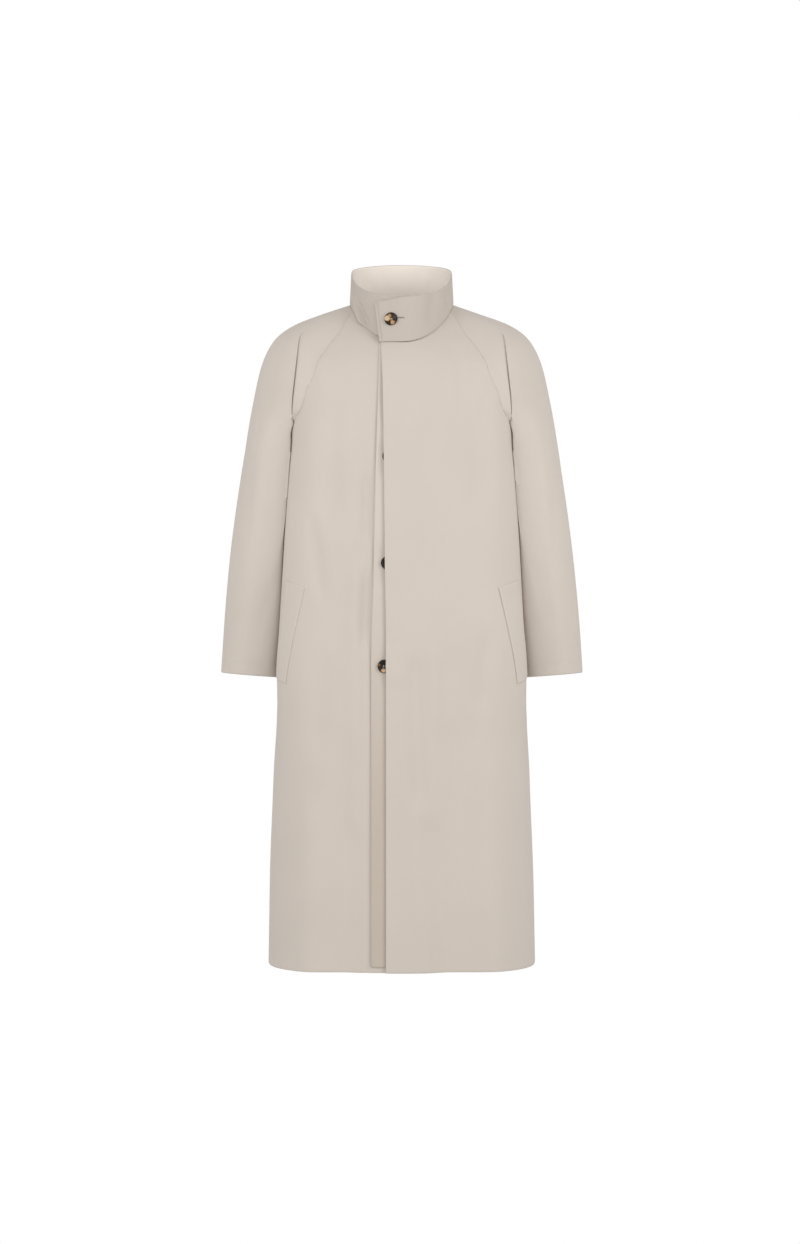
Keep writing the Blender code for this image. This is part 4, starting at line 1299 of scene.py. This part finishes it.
def add_button(button, mesh, surface, gap, patches):
    """A button a gap off a surface, a function of the button and of steps along and up from its place, sewn
    on by two pairs of threads."""
    run = surface(button, BUTTON_RADIUS, 0.0) - surface(button, -BUTTON_RADIUS, 0.0)
    rise = surface(button, 0.0, BUTTON_RADIUS) - surface(button, 0.0, -BUTTON_RADIUS)
    facing = Vector(np.cross(run, rise)).normalized()
    paint = tortoise_paint(button.name, patches)
    made = add_piece(button.name + "_resin", mesh.copy(), paint)
    made.data.set_sharp_from_angle(angle=BUTTON_SHARP)
    made.location = Vector(surface(button, 0.0, 0.0)) + facing * gap
    made.rotation_euler = facing.to_track_quat("Z", "Y").to_euler()
    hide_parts(button.name)
    bpy.context.view_layer.update()
    share = np.linspace(0.0, 1.0, BUTTON_THREAD_POINTS)
    over = np.clip((share - BUTTON_THREAD_FROM) / BUTTON_THREAD_OVER, 0.0, 1.0)[:, None]
    top = BUTTON_THICK * BUTTON_PROFILE[0].height + BUTTON_THREAD_PROUD
    climb = np.sin(np.clip(share * BUTTON_THREAD_CLIMB, 0.0, 1.0) * math.pi / 2)
    height = -gap + (top + gap) * np.minimum(climb, climb[::-1])
    spots = hole_spots()
    runs = []
    for start, end in ((spots[0], spots[3]), (spots[1], spots[2])):
        for shift in (-THREAD_RADIUS, THREAD_RADIUS):
            line = np.array(start) * (1 - over) + np.array(end) * over
            line[:, 0] += shift
            line[:, 2] = height
            placed = np.array([made.matrix_world @ Vector(point) for point in line])
            runs.append((placed, np.tile(run / np.linalg.norm(run), (len(placed), 1))))
    threads(button.name + "_thread", runs, BUTTON_THREAD, THREAD)


# Paints
GABARDINE = cloth_paint("gabardine_weave", (0.560, 0.501, 0.446), (0.546, 0.488, 0.433))
# Collar cloth: a darker copy of the gabardine, a painted shade over the whole collar.
COLLAR_SHADED_CLOTH = cloth_paint("collar_weave_painted_shade", (0.490, 0.438, 0.388), (0.476, 0.424, 0.374))
# Inner collar cloth: a lighter copy of the gabardine, painted light against the shade inside the collar.
INNER_LIT_CLOTH = cloth_paint("collar_inner_weave_painted_light", (0.800, 0.728, 0.652), (0.786, 0.714, 0.638))
# Fly strip cloth: darker towards its foot, a painted shade for the shade under the lapping left front.
STRIP_SHADED_CLOTH = cloth_paint(
    "strip_weave_foot_shade", (0.585, 0.522, 0.460), (0.570, 0.508, 0.446), foot=(0.480, 0.418, 0.350)
)
THREAD = thread_paint("sewing_thread", (0.57, 0.51, 0.453))
# Tab stitching: real topstitching, in a dark thread that paints the shadow line along the tab's edge.
TAB_SHADOW_THREAD = thread_paint("tab_thread_painted_shadow", (0.20, 0.165, 0.135))
# Painted shadow: a near-black thread laid in the buttonhole's slit for the shade inside it.
SLIT_SHADOW_THREAD = thread_paint("buttonhole_painted_shadow", (0.10, 0.085, 0.07))

# Places of rows and columns, finer by the edges
CHEST_LONG = 0.13
SIDE_LONG = 0.4
SKIRT_LONG = 0.8
FRONT_WIDE = 0.2
BACK_WIDE = 0.15
SEAM_TO_FOLD = 0.2
CUFF_LONG = 0.35
COLLAR_TALL = 0.075
COLLAR_ROUND = 0.6
STRIP_WIDE = 0.05
WELT_LONG = 0.17
WELT_WIDE = 0.03
chest_shares = graded(CHEST_ROWS, CHEST_LONG, True, False) * SPLIT
side_shares = SPLIT + graded(SIDE_COLUMNS, SIDE_LONG, False, True) * (1 - SPLIT)
yoke_shares = np.concatenate([chest_shares, side_shares[1:]])
skirt_downs = graded(SKIRT_ROWS, SKIRT_LONG)
fold_start, fold_end = CREASE_SHARES[1:3]
sleeve_places = np.unique(
    np.concatenate(
        [
            graded(SLEEVE_COUNTS[0], SEAM_TO_FOLD, True, False) * fold_start,
            np.linspace(fold_start, fold_end, SLEEVE_COUNTS[1] + 1),
            np.linspace(fold_end, 1.0, SLEEVE_COUNTS[2] + 1),
        ]
    )
)
cuff_drop = graded(SLEEVE_ROWS, CUFF_LONG, False, True)[1:]
cuff_heights = SLEEVE[0].height + (SLEEVE[-1].height - SLEEVE[0].height) * cuff_drop

# Seam lines of the wearer's left
seam_shares = np.linspace(0.0, 1.0, SEAM_POINTS)
raglan_front = np.array([seam_point(share, "front") for share in seam_shares])
raglan_back = np.array([seam_point(share, "back") for share in seam_shares])
side_seam = body_point(np.linspace(UNDERARM, HEM, SEAM_POINTS), math.radians(YOKE[-1].front_angle))

# Fronts and back
front_across = graded(FRONT_COLUMNS, FRONT_WIDE)
front_seams = [raglan_front, side_seam]
left = front_grid(left_edge, yoke_shares, skirt_downs, front_across)
left[..., 1] += front_settle(left[..., 0], left[..., 2]) - front_lift(left[..., 0], left[..., 2])
relief, calm = panel_relief("front_left", left, front_seams, (FRONT_EDGE, HEM_EDGE))
folded = with_folds(left, "front", calm)
cloth("front_left", folded, relief, CLOTH, GABARDINE)
right = front_grid(under_edge, yoke_shares, skirt_downs, front_across)
relief, calm = panel_relief("front_right", right, front_seams, (FRONT_EDGE, HEM_EDGE))
folded = with_folds(mirrored(right), "front", calm[:, ::-1])
cloth("front_right", folded, relief[:, ::-1], CLOTH, GABARDINE, -1)
back = back_grid(yoke_shares, skirt_downs, graded(BACK_COLUMNS, BACK_WIDE, False, True))
middle = back.shape[1] // 2
back_seams = [raglan_back, side_seam, raglan_back * TO_RIGHT, side_seam * TO_RIGHT]
relief, calm = panel_relief("back", back, back_seams, (HEM_EDGE,))
folded = with_folds(back, "back", calm)
cloth("back", folded, relief, CLOTH, GABARDINE, middle)

# Sleeves
sleeve = sleeve_grid(yoke_shares, cuff_heights, sleeve_places)
ring_from = len(yoke_shares) - 1
ridge = len(sleeve_places) - 1
sewn, away = near_seams(sleeve, [raglan_front, raglan_back])
calm = ease(away / SEAM_CALM)
sleeve = arm_fold(evened(sleeve, calm), sleeve_places, yoke_shares[:ring_from])
up = cut_lengths(sleeve, ridge)[..., 1]
hemmed = free_edge(up) + free_edge(up - CUFF_STITCH_UP) * CUFF_GROOVE
for side, order in SIDES:
    name = "sleeve_" + side
    grid = sleeve if side == "left" else mirrored(sleeve)
    relief = (sewn + hemmed)[:, order] + (sleeve_folds(grid, side) + ripple(grid, name)) * calm[:, order]
    piece = cloth(name, grid, relief, CLOTH, GABARDINE, ridge, ring_from)
    cuff_line = grid[-1].copy()
    cuff_line[:, 2] += CUFF_STITCH_UP
    threads("cuff_stitching_" + side, stitch_runs(piece, cuff_line), THREAD_RADIUS, THREAD)

# Collar
collar_ups = 1 - graded(COLLAR_ROWS, COLLAR_TALL)
collar_places = graded(COLLAR_COLUMNS, COLLAR_ROUND)
starts = TAB_BASE + (TAB_RIM - TAB_BASE) * collar_ups
degrees = starts[:, None] + (UNDER_END - starts)[:, None] * collar_places
outer = collar_grid(collar_ups, collar_places, 0.0, COLLAR_GAP)
inner = collar_grid(collar_ups * INNER_TALL, collar_places, COLLAR_PLY + SEAM_GAP, INNER_GAP)
lengths = cut_lengths(outer, 0)
rim_in = lengths[:1, :, 1] - lengths[..., 1]
ends_in = np.minimum(lengths[..., 0], lengths[:, -1:, 0] - lengths[..., 0])
sewn_in = lengths[..., 0] - COLLAR_STITCH_IN
rim_roll = free_edge(np.minimum(rim_in, ends_in))
folds = collar_folds(outer, degrees)
soft = ripple(outer, "collar") * COLLAR_RIPPLE
relief = folds + soft + rim_roll + free_edge(sewn_in) * TAB_GROOVE + free_edge(lengths[..., 1])
collar = cloth("collar", outer, relief, COLLAR_PLY, COLLAR_SHADED_CLOTH)
cloth("collar_inner", inner, folds + soft - rim_roll, COLLAR_PLY, INNER_LIT_CLOTH)
# The tab's stitching, dark as a painted shadow along its edge.
tab_side = collar_grid(collar_ups, np.array([COLLAR_STITCH_IN / COLLAR_ROUND]), 0.0, COLLAR_GAP)[:, 0]
threads("collar_stitching", stitch_runs(collar, tab_side), THREAD_RADIUS, TAB_SHADOW_THREAD)

# Fly strip
strip = strip_grid(right, chest_shares, graded(STRIP_COLUMNS, STRIP_WIDE))
lengths = cut_lengths(strip, 0)
relief = free_edge(lengths[..., 0]) + free_edge(lengths[..., 1])
folded = with_folds(strip, "front", np.ones(strip.shape[:2]))
cloth("fly_strip", folded, relief, STRIP_PLY, STRIP_SHADED_CLOTH)

# Pocket welts
welt = welt_grid(graded(WELT_ROWS, WELT_LONG), graded(WELT_COLUMNS, WELT_WIDE))
lengths = cut_lengths(welt, 0)
ends_in = np.minimum(lengths[:1, :, 1] - lengths[..., 1], lengths[..., 1])
sides_in = np.minimum(lengths[..., 0], lengths[:, -1:, 0] - lengths[..., 0])
relief = WELT_SINK * (free_edge(ends_in) + free_edge(sides_in))
for side, order in SIDES:
    grid = welt if side == "left" else mirrored(welt)
    folded = with_folds(grid, "front", np.ones(grid.shape[:2]))
    cloth("pocket_welt_" + side, folded, relief[:, order], WELT_PLY, GABARDINE)

# Buttons
resin = button_mesh()
for front_button in FRONT_BUTTONS:
    add_button(front_button, resin, front_place, STRIP_PLY + BUTTON_GAP, PATCHES[front_button.name])
add_button(COLLAR_BUTTON, resin, collar_place, LAY_GAP, PATCHES[COLLAR_BUTTON.name])

# Buttonhole beside the collar button
hole_along = np.linspace(HOLE_FROM, HOLE_TO, HOLE_STITCHES)
face = outer_face(collar)
runs = []
for edge in (-1, 1):
    for run in hole_along:
        reach = np.linspace(HOLE_SLIT, HOLE_DEEP, HOLE_STATIONS) * edge + HOLE_UP
        line = np.array([collar_place(COLLAR_BUTTON, run, rise) for rise in reach])
        places, outward = set_on(face, line)
        runs.append((places + outward * HOLE_PROUD, outward))
threads("buttonhole_stitching", runs, THREAD_RADIUS, THREAD)
# Slit of the buttonhole: a dark thread along it, a painted shadow inside the slit.
line = np.array([collar_place(COLLAR_BUTTON, run, HOLE_UP) for run in hole_along])
places, outward = set_on(face, line)
threads("buttonhole_slit_shadow", [(places, outward)], HOLE_SLIT, SLIT_SHADOW_THREAD)


def surroundings():
    """A white backdrop behind the coat and a dimmer room, lighter overhead."""
    made = bpy.data.worlds.new("studio")
    made.use_nodes = True
    tree = made.node_tree
    place = add_node(tree, "TexCoord").outputs["Generated"]
    parts = add_node(tree, "SeparateXYZ", Vector=place)
    room = smooth_step(tree, parts.outputs["Z"], (-1.0, 1.0), ROOM_LIGHT_LOW, ROOM_LIGHT_HIGH)
    drop = smooth_step(tree, parts.outputs["Y"], BACKDROP_EDGE)
    both = add_node(tree, "Mix", data_type="FLOAT", Factor=drop, A=room, B=BACKDROP_LIGHT)
    set_up(tree, tree.nodes["Background"], {"Strength": both.outputs["Result"], "Color": opaque(WHITE)})
    return made


def studio():
    """A white backdrop, soft light from both sides and from in front, and a pale floor below the frame."""
    scene = bpy.context.scene
    scene.view_settings.view_transform = "Standard"
    scene.world = surroundings()
    for light in LIGHTS:
        lamp = bpy.data.lights.new(light.name, "AREA")
        lamp.shape = "RECTANGLE"
        lamp.size = light.wide
        lamp.size_y = light.tall
        lamp.energy = light.watts
        made = bpy.data.objects.new(light.name, lamp)
        made.location = light.place
        made.rotation_euler = (Vector(light.aim) - Vector(light.place)).to_track_quat("-Z", "Y").to_euler()
        scene.collection.objects.link(made)
    disc = bmesh.new()
    bmesh.ops.create_circle(disc, cap_ends=True, segments=FLOOR_SIDES, radius=FLOOR_RADIUS)
    mesh = bpy.data.meshes.new("studio_floor")
    disc.to_mesh(mesh)
    disc.free()
    floor = bpy.data.objects.new("studio_floor", mesh)
    floor.location = (0.0, 0.0, FLOOR_HEIGHT)
    scene.collection.objects.link(floor)
    paint, tree, shader = new_material("pale_floor", Roughness=FLOOR_ROUGHNESS)
    grain = add_node(tree, "TexNoise", Scale=FLOOR_GRAIN).outputs["Fac"]
    dark, pale = FLOOR_TONES
    set_up(tree, shader, {"Base_Color": mixed_colour(tree, grain, opaque(dark), opaque(pale))})
    mesh.materials.append(paint)


def camera():
    view = bpy.data.cameras.new("photo_camera")
    view.sensor_width = SENSOR
    view.lens = SENSOR * -CAMERA_PLACE.y / (PHOTO_HEIGHT * PIXEL)
    made = bpy.data.objects.new("photo_camera", view)
    made.location = CAMERA_PLACE
    made.rotation_euler = (math.pi / 2, 0.0, 0.0)
    bpy.context.scene.collection.objects.link(made)
    bpy.context.scene.camera = made


studio()
camera()

bpy.context.view_layer.update()
